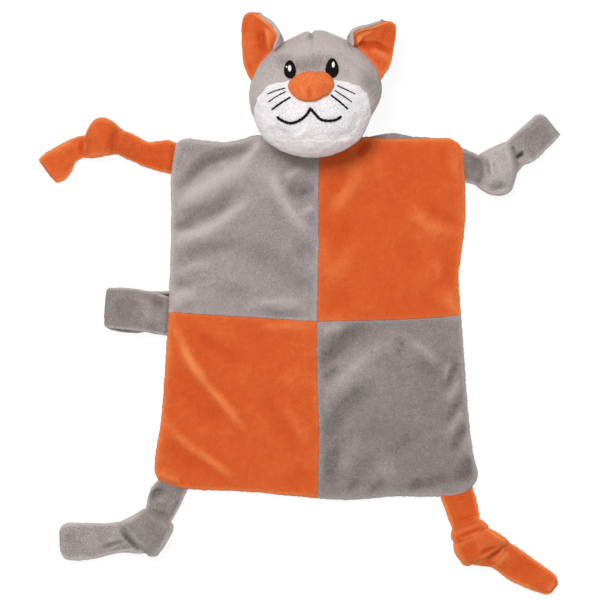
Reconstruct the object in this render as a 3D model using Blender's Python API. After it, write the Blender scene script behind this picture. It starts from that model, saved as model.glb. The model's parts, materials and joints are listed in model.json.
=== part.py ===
"""Comfort blanket lovey: a flat plush blanket of four panels with a stuffed cat head,
four knotted limbs and a carry loop.

Lengths are in metres and +Z is up.  The toy lies on its back on z = 0, with its head
towards +Y and its face up.  Outlines were read from a photograph taken from straight
above: a table whose name ends in PIXELS holds places in its 600 x 600 frame, and a
real size beside it gives their scale.
"""
import math

import bmesh
import bpy
from mathutils import Vector

# Cloth and clearances
CLOTH = 0.0027                # one layer of plush with its pile
HEAD_CLOTH = 0.0017           # plush drawn tight over the stuffing
GAP = 0.0003                  # between pieces that touch
STUFFING_GAP = 0.0009         # round the stuffing, for its flatter facets
EDGE_SHARE = 0.24             # thickness left where a cloth edge rounds off
EDGE_LINE_SHARE = 0.3         # place of a mesh line across a rounded edge
FLAT_CUT = 0.0005             # how deep the head's back is cut flat where it rests

# Blanket
BLANKET_CENTRE = Vector((0.0109, -0.0108))
BLANKET_WIDTH = 0.1757        # along the cross seam
BLANKET_LENGTH = 0.2112       # along the long seam
BLANKET_WIDTH_PIXELS = 292.8
BLANKET_LENGTH_PIXELS = 352.0
BLANKET_CENTRE_PIXELS = (317.0, 321.5)
CORNER_RADIUS = 0.0075
SHARP_CORNER_RADIUS = 0.0030
EDGE_ROUND = 0.0026           # width of the rounded outer edge
SEAM_ROUND = 0.0014           # width of the rounded edge beside a seam
CLOTH_STEP = 0.0092           # mesh step on the front panels
BACK_STEP = 0.0180            # mesh step on the back panel
TOP_LEFT_PIXELS = [(177, 141), (212, 142.3), (240, 141), (257, 138.5), (319, 138.5)]
TOP_RIGHT_PIXELS = [(319, 138.5), (367, 136.5), (395, 138), (440, 138), (465, 139)]
LEFT_UPPER_PIXELS = [(168.4, 312), (171, 230), (171, 174), (174, 153), (177, 141)]
LEFT_LOWER_PIXELS = [(154, 479), (155, 463), (160.5, 425), (165, 365), (168.4, 312)]
RIGHT_UPPER_PIXELS = [(461.2, 315.5), (459, 283), (464, 235), (466, 191), (465, 139)]
RIGHT_LOWER_PIXELS = [(477.2, 486), (473, 455), (468, 410), (464.5, 360), (461.2, 315.5)]
BOTTOM_LEFT_PIXELS = [(154, 479), (170, 485.6), (190, 489.8), (249, 492), (317.6, 498.5)]
BOTTOM_RIGHT_PIXELS = [
    (317.6, 498.5), (350, 500), (398, 497), (443, 497.4), (462, 494.4), (477.2, 486),
]
SEAM_UPPER_PIXELS = [(317, 321.5), (318.5, 260), (318.8, 191), (319, 138.5)]
SEAM_LOWER_PIXELS = [(317.6, 498.5), (319, 435), (316.8, 367), (317, 321.5)]
SEAM_LEFT_PIXELS = [(168.4, 312), (206.6, 314.5), (245, 317), (317, 321.5)]
SEAM_RIGHT_PIXELS = [(317, 321.5), (356, 320.7), (402, 319.5), (461.2, 315.5)]

# Folds of the blanket's front: start, end, share of the rise, share of the spread
FOLD_RISE = 0.0030
FOLD_SPREAD = 0.0068
FOLD_MARGIN = 0.0110          # folds die out this close to an edge or a seam
FOLD_PIXELS = [
    ((258, 152), (188, 205), 1.00, 1.00),
    ((248, 200), (182, 238), 0.90, 0.90),
    ((284, 168), (302, 232), 0.70, 0.80),
    ((186, 288), (292, 300), 0.60, 1.20),
    ((366, 152), (384, 190), 0.60, 0.80),
    ((334, 212), (352, 188), 0.50, 0.80),
    ((418, 198), (452, 216), 0.50, 1.00),
    ((184, 338), (242, 428), 1.00, 0.90),
    ((176, 428), (236, 478), 0.90, 0.90),
    ((326, 394), (384, 344), 1.00, 0.90),
    ((398, 338), (442, 362), 0.60, 1.00),
    ((430, 424), (462, 466), 0.70, 0.90),
    ((332, 470), (420, 478), 0.40, 1.20),
]

# Head
HEAD_WIDTH = 0.0798
HEAD_LENGTH = 0.0764          # crown to chin
HEAD_BACK_DEPTH = 0.0283      # side seam down to the back
HEAD_FRONT_DEPTH = 0.0255     # side seam up to the brow
HEAD_SIDE = -0.0010           # head centre beside the blanket's long seam
NECK_GAP = 0.0004             # between the back of the head and the blanket's rim
HEAD_WIDTH_PIXELS = 133.0
HEAD_LENGTH_PIXELS = 127.4
HEAD_CENTRE_PIXELS = (315.5, 94.1)
FRONT_FULLNESS = 2.20
BACK_FULLNESS = 2.52
HEAD_RADIUS_SHARES = [
    0.990, 0.990, 0.957, 0.965, 0.998, 0.948, 0.945, 0.966,
    1.000, 1.005, 1.045, 1.020, 1.000, 0.985, 0.970, 0.915,
]
HEAD_SEAM_DIP = 0.0005        # the cloth draws in at its seams
HEAD_SEAM_ROUND = 0.0022
MUZZLE_RISE = 0.0042
EYE_HOLLOW = 0.0014
RELIEF_SPREAD = 0.0200
# Relief of the face: centre, share of the rise, share of the spread across and along
MUZZLE_PIXELS = [
    ((292, 112), 0.75, 1.05, 0.90),
    ((334, 112), 0.75, 1.05, 0.90),
    ((313, 138), 0.45, 1.35, 0.75),
]
HOLLOW_PIXELS = [((289, 66), 1.0, 0.50, 0.55), ((334, 65), 1.0, 0.50, 0.55)]
MUZZLE_SEAM_PIXELS = [
    (253.8, 117), (254.5, 105), (259, 95), (268, 86), (288, 80.4), (311, 79.5),
    (334.5, 80.4), (356.3, 84.4), (365.5, 91.8), (369.8, 104), (370.2, 118.5),
]
CHIN_SEAM_PIXELS = [(261.5, 136.3), (284.8, 139.5), (317, 140.5), (345, 138.5), (364.8, 130.5)]
# Mesh lines beside the edges of the head's pieces, as shares of their width
CROWN_EDGE_SHARES = [0.015, 0.05, 0.10]
CHIN_EDGE_SHARES = [0.02, 0.07, 0.13]
MUZZLE_EDGE_SHARES = [0.0, 0.03, 0.08, 0.15]
BACK_EDGE_SHARES = [0.0, 0.025, 0.07, 0.14]
SEAM_EDGE_SHARES = [0.0, 0.06, 0.18]
CHIN_SEAM_EDGE_SHARES = [0.0, 0.12, 0.35]

# Nose, eyes and stitched lines
NOSE_RISE = 0.0050
NOSE_EDGE = 0.0008
NOSE_FILLING_SHARE = 0.80
NOSE_FULLNESS = 2.4
NOSE_GRID_SHARES = [-1.0, -0.90, -0.72, -0.46, -0.16, 0.16, 0.46, 0.72, 0.90, 1.0]
NOSE_PIXELS = [
    (333.7, 80.4), (327.6, 73.5), (315, 70.9), (303, 72), (294.3, 76.9), (288.3, 84.5),
    (294.3, 97.0), (310.4, 102.4), (322.5, 98.0), (331, 90.7),
]
EYE_THICKNESS = 0.0007
EYE_GAP = 0.0002
EYE_POINT_SHARE = 0.16        # how much narrower an eye is at its top
STITCH_RIM_SHARE = 0.4        # a stitched oval's thickness at its rim
LEFT_EYE_PIXELS = ((290.5, 70.3), (6.2, 9.0))
RIGHT_EYE_PIXELS = ((332.2, 68.9), (6.4, 9.9))
LEFT_HIGHLIGHT_PIXELS = ((290.6, 69.8), (1.6, 3.0))
LEFT_GLINT_PIXELS = ((287.7, 68.4), (0.9, 0.7))
RIGHT_HIGHLIGHT_PIXELS = ((332.5, 66.4), (1.7, 3.4))
MOUTH_RADIUS = 0.00062
THREAD_GAP = 0.00022
THREAD_STEP = 0.0016
THREAD_SIDES = 6
MOUTH_LEFT_PIXELS = [
    (277, 117), (283, 121.1), (290.8, 123.4), (298.9, 121.1), (305.8, 116), (310.4, 109),
]
MOUTH_RIGHT_PIXELS = [
    (310.4, 109), (315.5, 114.8), (320.7, 119.7), (328.7, 121.1), (335.6, 120), (341.4, 116.5),
]
WHISKER_RADIUS = 0.00045
THIN_SHARE = 0.65             # the upper whiskers' radius beside the lowest ones'
WHISKER_PIXELS = {
    "whisker_left_top": [(286.0, 88.6), (277, 90.9), (267.3, 94.7)],
    "whisker_left_middle": [(286.6, 91.8), (277.6, 96.5), (268.5, 102.5)],
    "whisker_left_bottom": [(291.0, 97.6), (281.5, 103.2), (271.9, 110.2)],
    "whisker_right_top": [(336.6, 86.0), (345.5, 90.0), (355.1, 94.7)],
    "whisker_right_middle": [(334.4, 91.0), (342.6, 96.2), (351.7, 102.5)],
    "whisker_right_bottom": [(330.4, 95.4), (339, 102), (347.7, 109.6)],
}

# Ears
EAR_CLOTH = 0.0018
EAR_GAP = 0.0006              # ear root to the head
EAR_LAYER_GAP = 0.0005        # between its two layers
EAR_CURL = 0.0085             # the crown-side edge curls up this far
EAR_CURL_START = 0.0090       # and reaches that height this far from the root
EAR_CURL_SHARE = 0.34         # share of the width that curls
EAR_CURL_TURN = math.radians(112)
EAR_CURL_FALL_SHARE = 0.45    # how much lower the curl is at the tip
EAR_CUP = 0.0020
EAR_CUP_START_SHARE = 0.25    # the cup reaches its depth this far along the ear
LEFT_EAR_PIXELS = {
    "outer": [(249.5, 83), (244.0, 66), (242.0, 45.9), (241.5, 27)],
    "tip": [(241.5, 27), (244.5, 15.5), (253.5, 11.8), (264, 15.6)],
    "inner": [(284.5, 38.8), (281.7, 32.6), (275.5, 24.6), (264, 15.6)],
}
RIGHT_EAR_PIXELS = {
    "outer": [(384.0, 82.5), (390.9, 64.3), (394.6, 45.9), (397, 33)],
    "tip": [(397, 33), (396.4, 24.6), (390, 20.8), (379, 21.6)],
    "inner": [(345.5, 36.6), (351.5, 29.4), (361, 25.8), (379, 21.6)],
}

# Limbs: edge places from the root to the knot and on to the tail's end
STRAP_WIDTH = 0.0204
STRAP_THICKNESS = 0.0054
STRAP_WIDTH_PIXELS = 34.0
KNOT_HEIGHT = 0.0165
WRAP_RISE = 0.0013            # the outer wrap stands proud of the knot
TAIL_THICKNESS = 0.0058
TAIL_LIFT = 0.0022            # the tail leaves the knot this far off the floor
TAIL_SAG_SHARES = [0.65, 0.20]  # share of that lift left at the tail's first sections
TAIL_ROOT_SHARE = 0.92        # the tail's width at the knot beside the knot's end face
LIMB_RING_POINTS = 14
LIMB_SIDE_POWER = 0.70        # a section is fuller than an ellipse, whose powers are 1
LIMB_TOP_POWER = 0.85
STRAP_CROWN_SHARE = 1.1       # the strap's upper half beside its half thickness
KNOT_START_SHARE = 0.6        # place of the knot's start between two stations
KNOT_HEIGHT_SHARES = [0.55, 0.90, 1.0, 0.96, 0.72]
KNOT_FACE_SHARE = 0.70        # height of the knot's end face
LIMB_PIXELS = {
    "arm_left": {
        "root": ((176.4, 142.5), (171.5, 174.8)),
        "strap": [
            ((162, 141.0), (160, 172.0)), ((149, 141.9), (149, 168.3)), ((136, 136.5), (134, 160.5)),
        ],
        "knot": [
            ((124, 131.5), (121, 155.2)), ((113, 120.5), (112, 155.0)), ((103, 117.3), (103, 156.3)),
            ((92.5, 121.5), (93.5, 157.8)), ((84.6, 134.2), (86.4, 158.5)),
        ],
        "tail": [
            ((75, 136.2), (79, 160.5)), ((62, 142.0), (74, 166.0)), ((50, 148.3), (71.3, 172.8)),
            ((42.5, 153.0), (67, 179.3)), ((38.6, 159.5), (59, 184.0)),
        ],
    },
    "arm_right": {
        "root": ((464.6, 151.0), (466.0, 184.0)),
        "strap": [((469, 150.5), (471, 185.5)), ((475, 153.2), (477, 188.6))],
        "knot": [
            ((480, 154.2), (480, 190.3)), ((489, 149.0), (487, 193.4)), ((499, 144.4), (500.3, 196.8)),
            ((505, 142.0), (510, 194.0)), ((508.6, 141.2), (516.5, 178.0)),
        ],
        "tail": [
            ((517, 132.5), (525, 166.0)), ((527, 123), (538.5, 158.8)), ((536.6, 114.6), (549.5, 146.8)),
            ((546.0, 117.0), (560.5, 136.6)),
        ],
    },
    "leg_left": {
        "root": ((159.0, 481.4), (189.3, 489.9)),
        "strap": [
            ((151, 486.5), (185, 497.5)), ((147.4, 492.5), (180.1, 504.7)), ((145.2, 500), (175.5, 513)),
        ],
        "knot": [
            ((144.3, 507.5), (171.4, 520.5)), ((138, 511.5), (174, 528.5)), ((131, 515.5), (167.5, 543.5)),
            ((125, 519.2), (157, 557.2)), ((119.6, 523), (145, 554.5)),
        ],
        "tail": [
            ((106, 522.6), (122, 553.8)), ((93.4, 522.6), (97, 559.8)), ((75, 522.2), (78, 561.4)),
            ((60.6, 526.0), (62.5, 559.8)),
        ],
    },
    "leg_right": {
        "root": ((441.5, 497.6), (471.0, 490.6)),
        "strap": [
            ((441.8, 505), (475.2, 497.5)), ((444.6, 513), (477.8, 505)), ((448.5, 521.5), (479.4, 512.6)),
        ],
        "knot": [
            ((451.4, 529.1), (479.8, 517.8)), ((450.8, 537.5), (487.5, 524.0)),
            ((453.5, 549), (495.5, 530.6)), ((459, 562), (502, 536.8)),
            ((474, 568.5), (507.3, 541.2)), ((491.8, 567), (508.4, 541.8)),
        ],
        "tail": [
            ((508.6, 580), (524, 550.6)), ((526, 588.5), (541, 562.6)), ((541.6, 594.0), (554.6, 573.6)),
            ((550.0, 593.4), (559.0, 582.4)),
        ],
    },
}
LIMB_SIDES = {
    "arm_left": "left_upper",
    "arm_right": "right_upper",
    "leg_left": "bottom_left",
    "leg_right": "bottom_right",
}
WRAP_EDGE_SHARE = 0.10        # length of a wrap's edge along the knot
# Outer wrap of each knot: start and end along the knot, and its slant across the knot
WRAP_SHARES = {
    "arm_left": (0.34, 0.92, 0.10),
    "arm_right": (0.10, 0.86, -0.16),
    "leg_left": (0.10, 0.88, 0.10),
    "leg_right": (0.26, 0.90, -0.08),
}

# Carry loop
LOOP_CLOTH = 0.0024
LOOP_OPENING = 0.0056         # clear height inside the loop
LOOP_REACH = 0.0385
LOOP_ROOT_GAP = 0.0004        # between its two layers where they are sewn in
LOOP_SIDES = 8                # points round the strip's section
LOOP_SIDE_POWER = 0.6
LOOP_LOWER_SHARES = (0.12, 0.24, 0.42, 0.62, 0.82)
LOOP_UPPER_SHARES = (0.82, 0.62, 0.46, 0.34, 0.24, 0.12)
LOOP_SETTLE_SHARE = 0.20      # the lower layer lies on the floor from here on
LOOP_CLIMB_SHARE = 0.40       # and the upper layer has its full height
LOOP_REACH_PIXELS = 64.0
LOOP_ROOT_PIXELS = ((169.0, 291.0), (166.3, 336.5))
LOOP_LOWER_PIXELS = ((288.0, 331.0), (290.0, 336.0))
LOOP_UPPER_PIXELS = ((287.4, 327.0), (297.0, 329.5))

EDGE_SAMPLES = 200            # along an edge of the blanket, to find how far it bulges
COLLECTION_NAME = "comfort_blanket_lovey"


# Curves and numbers

def chord_stops(points):
    """How far along a row of points each one lies, from 0 to 1."""
    stops = [0.0]
    for here, after in zip(points, points[1:]):
        stops.append(stops[-1] + (after - here).length)
    return [stop / stops[-1] for stop in stops]


def spline(values, stops):
    """A smooth curve through the values at stops that rise from 0 to 1."""
    slopes = []
    for index in range(len(values)):
        low, high = max(index - 1, 0), min(index + 1, len(values) - 1)
        slopes.append((values[high] - values[low]) / (stops[high] - stops[low]))

    def at(share):
        share = min(max(share, 0.0), 1.0)
        index = 0
        while index < len(values) - 2 and share > stops[index + 1]:
            index += 1
        span = stops[index + 1] - stops[index]
        t = (share - stops[index]) / span
        return (values[index] * (2 * t ** 3 - 3 * t ** 2 + 1)
                + slopes[index] * (span * (t ** 3 - 2 * t ** 2 + t))
                + values[index + 1] * (3 * t ** 2 - 2 * t ** 3)
                + slopes[index + 1] * (span * (t ** 3 - t ** 2)))

    return at


def smooth_curve(points):
    """A curve through the points, whose parameter runs from 0 to 1 by chord length."""
    points = [Vector(point) for point in points]
    return spline(points, chord_stops(points))


def ring_value(values, angle):
    """A smooth value round a circle, from values at equal angles."""
    count = len(values)
    place = (angle / math.tau) % 1.0 * count
    index = int(place) % count
    t = place - int(place)
    before, here, after, beyond = (values[(index + step) % count] for step in (-1, 0, 1, 2))
    return here + 0.5 * t * (after - before + t * (
        2 * before - 5 * here + 4 * after - beyond + t * (3 * (here - after) + beyond - before)))


def signed_power(value, power):
    return math.copysign(abs(value) ** power, value)


def smoothstep(value):
    value = min(max(value, 0.0), 1.0)
    return value * value * (3 - 2 * value)


def rounded(distance, width):
    """Share of full thickness at a distance from an edge that is rounded over a width."""
    inside = min(max(distance / width, 0.0), 1.0)
    return EDGE_SHARE + (1 - EDGE_SHARE) * math.sqrt(1 - (1 - inside) ** 2)


def plan_place(pixel, origin_pixel, origin, scale_x, scale_y):
    """Plan position of a pixel, for a piece whose origin and scales are known."""
    return Vector((origin.x + (pixel[0] - origin_pixel[0]) * scale_x,
                   origin.y - (pixel[1] - origin_pixel[1]) * scale_y))


def disc_from_square(a, b):
    """A point of the square -1 to 1 carried to the unit disc."""
    return a * math.sqrt(1 - b * b / 2), b * math.sqrt(1 - a * a / 2)


# Objects

def new_collection(name):
    collection = bpy.data.collections.new(name)
    bpy.context.scene.collection.children.link(collection)
    return collection


def plush(name, colour, roughness=0.95):
    material = bpy.data.materials.new(name)
    material.use_nodes = True
    shader = material.node_tree.nodes["Principled BSDF"]
    shader.inputs["Base Color"].default_value = (*colour, 1.0)
    shader.inputs["Roughness"].default_value = roughness
    shader.inputs["Metallic"].default_value = 0.0
    return material


def pivot_empty(name, place, parent=None):
    """An empty on a joint's axis, which carries the pieces that turn about it."""
    empty = bpy.data.objects.new(name, None)
    parts.objects.link(empty)
    if parent is not None:
        empty.parent = parent
        place = place - world_place(parent)
    empty.location = place
    return empty


def world_place(item):
    place = item.location.copy()
    while item.parent is not None:
        item = item.parent
        place += item.location
    return place


def add_piece(name, mesh_data, material, pivot=None, collection=None):
    """Turn a bmesh in world places into a named object, carried by its pivot."""
    bmesh.ops.recalc_face_normals(mesh_data, faces=mesh_data.faces)
    if mesh_data.calc_volume(signed=True) < 0:
        bmesh.ops.reverse_faces(mesh_data, faces=mesh_data.faces)
    if pivot is not None:
        bmesh.ops.translate(mesh_data, verts=mesh_data.verts, vec=-world_place(pivot))
    mesh = bpy.data.meshes.new(name)
    mesh_data.to_mesh(mesh)
    mesh_data.free()
    mesh.shade_smooth()
    if material is not None:
        mesh.materials.append(material)
    piece = bpy.data.objects.new(name, mesh)
    piece.parent = pivot
    (collection or parts).objects.link(piece)
    return piece


def sheet_mesh(columns, rows, place):
    """A closed sheet: place(s, t, upper) gives both sides of a grid of shares."""
    mesh = bmesh.new()
    bmesh.ops.create_grid(mesh, x_segments=len(columns) - 1, y_segments=len(rows) - 1, size=1)

    def with_shares(vertices):
        placed = []
        for vertex in vertices:
            column = round((vertex.co.x + 1) / 2 * (len(columns) - 1))
            row = round((vertex.co.y + 1) / 2 * (len(rows) - 1))
            placed.append((vertex, columns[column], rows[row]))
        return placed

    lower = with_shares(mesh.verts)
    extruded = bmesh.ops.extrude_face_region(mesh, geom=mesh.faces[:], use_keep_orig=True)
    upper = with_shares(item for item in extruded["geom"] if isinstance(item, bmesh.types.BMVert))
    for side, is_upper in ((lower, False), (upper, True)):
        for vertex, s, t in side:
            vertex.co = place(s, t, is_upper)
    return mesh


def loft_mesh(rings, closed=False):
    """Skin a row of rings of equal count, with flat ends unless the row is closed."""
    mesh = bmesh.new()
    rows = [[mesh.verts.new(place) for place in ring] for ring in rings]
    count = len(rows[0])
    pairs = list(zip(rows, rows[1:]))
    if closed:
        pairs.append((rows[-1], rows[0]))
    for here, after in pairs:
        for index in range(count):
            following = (index + 1) % count
            mesh.faces.new((here[index], here[following], after[following], after[index]))
    if not closed:
        mesh.faces.new(rows[0])
        mesh.faces.new(rows[-1])
    return mesh


def even_stops(low, high, count):
    return [low + (high - low) * index / count for index in range(count + 1)]


def graded_stops(edge_shares, count):
    """Stops from 0 to 1: the edge's own at both ends, with even steps between them."""
    ends = edge_shares[:-1]
    middle = even_stops(edge_shares[-1], 1 - edge_shares[-1], count)
    return ends + middle + [1 - share for share in reversed(ends)]


def level(place, height):
    """A plan place lifted to a height."""
    return Vector((place.x, place.y, height))


# Blanket

def blanket_place(pixel):
    return plan_place(pixel, BLANKET_CENTRE_PIXELS, BLANKET_CENTRE,
                      BLANKET_WIDTH / BLANKET_WIDTH_PIXELS, BLANKET_LENGTH / BLANKET_LENGTH_PIXELS)


def blanket_curve(*tables):
    """A side through the tables' places in turn, each table starting where the last ends."""
    pixels = list(tables[0])
    for table in tables[1:]:
        pixels += table[1:]
    return smooth_curve([blanket_place(pixel) for pixel in pixels])


def coons_patch(low, high, left, right):
    """A surface between four sides, low and high along s, left and right along t."""
    corner_low = low(0), low(1)
    corner_high = high(0), high(1)

    def at(s, t):
        across = low(s) * (1 - t) + high(s) * t
        along = left(t) * (1 - s) + right(t) * s
        corners = ((corner_low[0] * (1 - s) + corner_low[1] * s) * (1 - t)
                   + (corner_high[0] * (1 - s) + corner_high[1] * s) * t)
        return across + along - corners

    return at


def edge_stops(size, edges, step):
    """Grid lines across a sheet, closer beside its two edges: each "outer" or "seam"."""
    insets = {
        "outer": [0.0, EDGE_ROUND * EDGE_LINE_SHARE, EDGE_ROUND, (EDGE_ROUND + CORNER_RADIUS) / 2,
                  CORNER_RADIUS],
        "seam": [GAP / 2, GAP / 2 + SEAM_ROUND * EDGE_LINE_SHARE, GAP / 2 + SEAM_ROUND],
    }
    low, high = insets[edges[0]], insets[edges[1]]
    count = max(round((size - low[-1] - high[-1]) / step), 1)
    middle = even_stops(low[-1], size - high[-1], count)
    stops = low[:-1] + middle + [size - inset for inset in reversed(high[:-1])]
    return [stop / size for stop in stops]


def round_corner(s, t, corner, radius_s, radius_t):
    """Carry the corner cell of the unit square to a quarter disc."""
    a = 1 - abs(corner[0] - s) / radius_s
    b = 1 - abs(corner[1] - t) / radius_t
    if a <= 0 or b <= 0:
        return s, t
    round_a, round_b = disc_from_square(a, b)
    return (s + (a - round_a) * radius_s * (1 if corner[0] == 0 else -1),
            t + (b - round_b) * radius_t * (1 if corner[1] == 0 else -1))


def fold_height(place, margin):
    """Rise of the front's folds at a plan place that lies this far from the nearest edge."""
    rise = 0.0
    for start, end, rise_share, spread_share in FOLD_PIXELS:
        a, b = blanket_place(start), blanket_place(end)
        along = (place - a).dot(b - a) / (b - a).length_squared
        nearest = a + (b - a) * min(max(along, 0.0), 1.0)
        distance = (place - nearest).length / (FOLD_SPREAD * spread_share)
        rise += FOLD_RISE * rise_share * math.exp(-distance * distance)
    return min(rise, FOLD_RISE) * smoothstep(margin / FOLD_MARGIN)


def blanket_sheet(name, material, sides, edges, corners, is_front):
    """A panel of the blanket between four sides, with its rounded edges and its folds."""
    low, high, left, right = sides
    patch = coons_patch(low, high, left, right)
    width = ((low(1) - low(0)).length + (high(1) - high(0)).length) / 2
    length = ((left(1) - left(0)).length + (right(1) - right(0)).length) / 2
    step = CLOTH_STEP if is_front else BACK_STEP
    columns = edge_stops(width, edges[:2], step)
    rows = edge_stops(length, edges[2:], step)
    rounds = {"outer": EDGE_ROUND, "seam": SEAM_ROUND}

    def place(s, t, upper):
        distances = (s * width, (1 - s) * width, t * length, (1 - t) * length)
        thickness = CLOTH * min(rounded(d, rounds[edge]) for d, edge in zip(distances, edges))
        for corner, radius in corners.items():
            s, t = round_corner(s, t, corner, radius / width, radius / length)
        plan = patch(s, t)
        if not is_front:
            height = CLOTH if upper else CLOTH - thickness
        else:
            height = CLOTH + GAP + fold_height(plan, min(distances)) + (thickness if upper else 0.0)
        return level(plan, height)

    return add_piece(name, sheet_mesh(columns, rows, place), material)


def build_blanket():
    seam_upper, seam_lower = blanket_curve(SEAM_UPPER_PIXELS), blanket_curve(SEAM_LOWER_PIXELS)
    seam_left, seam_right = blanket_curve(SEAM_LEFT_PIXELS), blanket_curve(SEAM_RIGHT_PIXELS)
    side = {
        "top_left": blanket_curve(TOP_LEFT_PIXELS), "top_right": blanket_curve(TOP_RIGHT_PIXELS),
        "left_upper": blanket_curve(LEFT_UPPER_PIXELS), "left_lower": blanket_curve(LEFT_LOWER_PIXELS),
        "right_upper": blanket_curve(RIGHT_UPPER_PIXELS), "right_lower": blanket_curve(RIGHT_LOWER_PIXELS),
        "bottom_left": blanket_curve(BOTTOM_LEFT_PIXELS), "bottom_right": blanket_curve(BOTTOM_RIGHT_PIXELS),
    }
    blanket_sheet("panel_upper_left", grey,
                  (seam_left, side["top_left"], side["left_upper"], seam_upper),
                  ("outer", "seam", "seam", "outer"), {(0, 1): SHARP_CORNER_RADIUS}, True)
    blanket_sheet("panel_upper_right", orange,
                  (seam_right, side["top_right"], seam_upper, side["right_upper"]),
                  ("seam", "outer", "seam", "outer"), {(1, 1): CORNER_RADIUS}, True)
    blanket_sheet("panel_lower_left", orange,
                  (side["bottom_left"], seam_left, side["left_lower"], seam_lower),
                  ("outer", "seam", "outer", "seam"), {(0, 0): SHARP_CORNER_RADIUS}, True)
    blanket_sheet("panel_lower_right", grey,
                  (side["bottom_right"], seam_right, seam_lower, side["right_lower"]),
                  ("seam", "outer", "outer", "seam"), {(1, 0): SHARP_CORNER_RADIUS}, True)
    whole = (blanket_curve(BOTTOM_LEFT_PIXELS, BOTTOM_RIGHT_PIXELS),
             blanket_curve(TOP_LEFT_PIXELS, TOP_RIGHT_PIXELS),
             blanket_curve(LEFT_LOWER_PIXELS, LEFT_UPPER_PIXELS),
             blanket_curve(RIGHT_LOWER_PIXELS, RIGHT_UPPER_PIXELS))
    corners = {(0, 0): SHARP_CORNER_RADIUS, (1, 0): SHARP_CORNER_RADIUS, (1, 1): CORNER_RADIUS,
               (0, 1): SHARP_CORNER_RADIUS}
    blanket_sheet("back_panel", grey, whole, ("outer",) * 4, corners, False)
    return side


# Head

def neck_place():
    """Middle of the blanket's top edge, where the head is sewn on."""
    return blanket_place((BLANKET_CENTRE_PIXELS[0], TOP_LEFT_PIXELS[-1][1]))


def head_reach(height):
    """How far the back of the head reaches towards the blanket at a height over the floor."""
    up = (HEAD_BACK_DEPTH - FLAT_CUT - height) / HEAD_BACK_DEPTH
    turn = math.acos(up ** (BACK_FULLNESS / 2))
    return head_radius(-math.pi / 2) * math.sin(turn) ** (2 / BACK_FULLNESS)


def head_centre():
    """The back of the head lies against the rounded rim of the blanket's top edge."""
    neck = neck_place()
    rim = (0.0, EDGE_ROUND * EDGE_LINE_SHARE, EDGE_ROUND)
    beyond = max(head_reach(CLOTH + GAP + CLOTH * rounded(inside, EDGE_ROUND)) - inside for inside in rim)
    return Vector((neck.x + HEAD_SIDE, neck.y + beyond + NECK_GAP, HEAD_BACK_DEPTH - FLAT_CUT))


def head_place(pixel):
    """Plan place of a pixel on the head, from the head's centre."""
    return plan_place(pixel, HEAD_CENTRE_PIXELS, Vector((0.0, 0.0)),
                      HEAD_WIDTH / HEAD_WIDTH_PIXELS, HEAD_LENGTH / HEAD_LENGTH_PIXELS)


def head_radius(angle):
    """Plan radius of the side seam: an ellipse with the outline's own swellings."""
    half_width, half_length = HEAD_WIDTH / 2, HEAD_LENGTH / 2
    across, along = half_length * math.cos(angle), half_width * math.sin(angle)
    return half_width * half_length / math.hypot(across, along) * ring_value(HEAD_RADIUS_SHARES, angle)


def face_relief(plan):
    """How far the face stands out from the plain dome."""
    height = 0.0
    for table, rise in ((MUZZLE_PIXELS, MUZZLE_RISE), (HOLLOW_PIXELS, -EYE_HOLLOW)):
        for centre, rise_share, across_share, along_share in table:
            offset = (plan - head_place(centre)) / RELIEF_SPREAD
            far = math.hypot(offset.x / across_share, offset.y / along_share)
            height += rise * rise_share * math.exp(-far * far)
    return height


def head_point(u, v, front, depth):
    """Point of the head for a place in the unit disc, whose rim is the side seam."""
    reach = min(math.hypot(u, v), 1.0)
    angle = math.atan2(v, u)
    fullness = FRONT_FULLNESS if front else BACK_FULLNESS
    out = math.sin(reach * math.pi / 2) ** (2 / fullness)
    up = max(math.cos(reach * math.pi / 2), 0.0) ** (2 / fullness)
    radius = (head_radius(angle) - depth) * out
    plan = Vector((radius * math.cos(angle), radius * math.sin(angle)))
    centre = head_centre()
    if front:
        height = centre.z + (HEAD_FRONT_DEPTH - depth) * up + face_relief(plan) * math.sqrt(up)
    else:
        height = max(centre.z - (HEAD_BACK_DEPTH - depth) * up, depth)
    return Vector((centre.x + plan.x, centre.y + plan.y, height))


def disc_place(plan):
    """Place in the unit disc of a plan place on the face."""
    angle = math.atan2(plan.y, plan.x)
    out = min(plan.length / head_radius(angle), 1.0)
    reach = math.asin(out ** (FRONT_FULLNESS / 2)) / (math.pi / 2)
    return Vector((reach * math.cos(angle), reach * math.sin(angle)))


def rim_arc(start, end):
    """Arc of the side seam between two angles, as places in the unit disc."""
    def at(share):
        angle = start + (end - start) * share
        return Vector((math.cos(angle), math.sin(angle)))

    return at


def rim_angle(pixel):
    plan = head_place(pixel)
    return math.atan2(plan.y, plan.x) % math.tau


def head_curve(pixels):
    """A seam of the face through pixels whose two ends lie on the rim."""
    places = [disc_place(head_place(pixel)) for pixel in pixels]
    places[0].normalize()
    places[-1].normalize()
    return smooth_curve(places)


def head_shell(name, material, pivot, place_on_disc, columns, rows, front, size):
    """A piece of the head's cloth: its outer side dips where it is sewn."""
    def place(s, t, upper):
        point = place_on_disc(s, t)
        edge = min(s, 1 - s) * size[0], min(t, 1 - t) * size[1]
        dip = HEAD_SEAM_DIP * (1 - smoothstep(min(edge) / HEAD_SEAM_ROUND))
        placed = head_point(point[0], point[1], front, dip if upper else HEAD_CLOTH)
        placed.z += GAP / 2 if front else -GAP / 2 * smoothstep(math.hypot(*point) ** 4)
        return placed

    return add_piece(name, sheet_mesh(columns, rows, place), material, pivot)


def strip_between(low, high):
    """Places between two curves that end together, kept half a gap off each."""
    def at(s, t):
        a, b = low(s), high(s)
        width = (head_point(*a, True, 0.0) - head_point(*b, True, 0.0)).length
        inset = min(GAP / 2 / width, 0.25)
        return a.lerp(b, inset + (1 - 2 * inset) * t)

    return at


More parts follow.
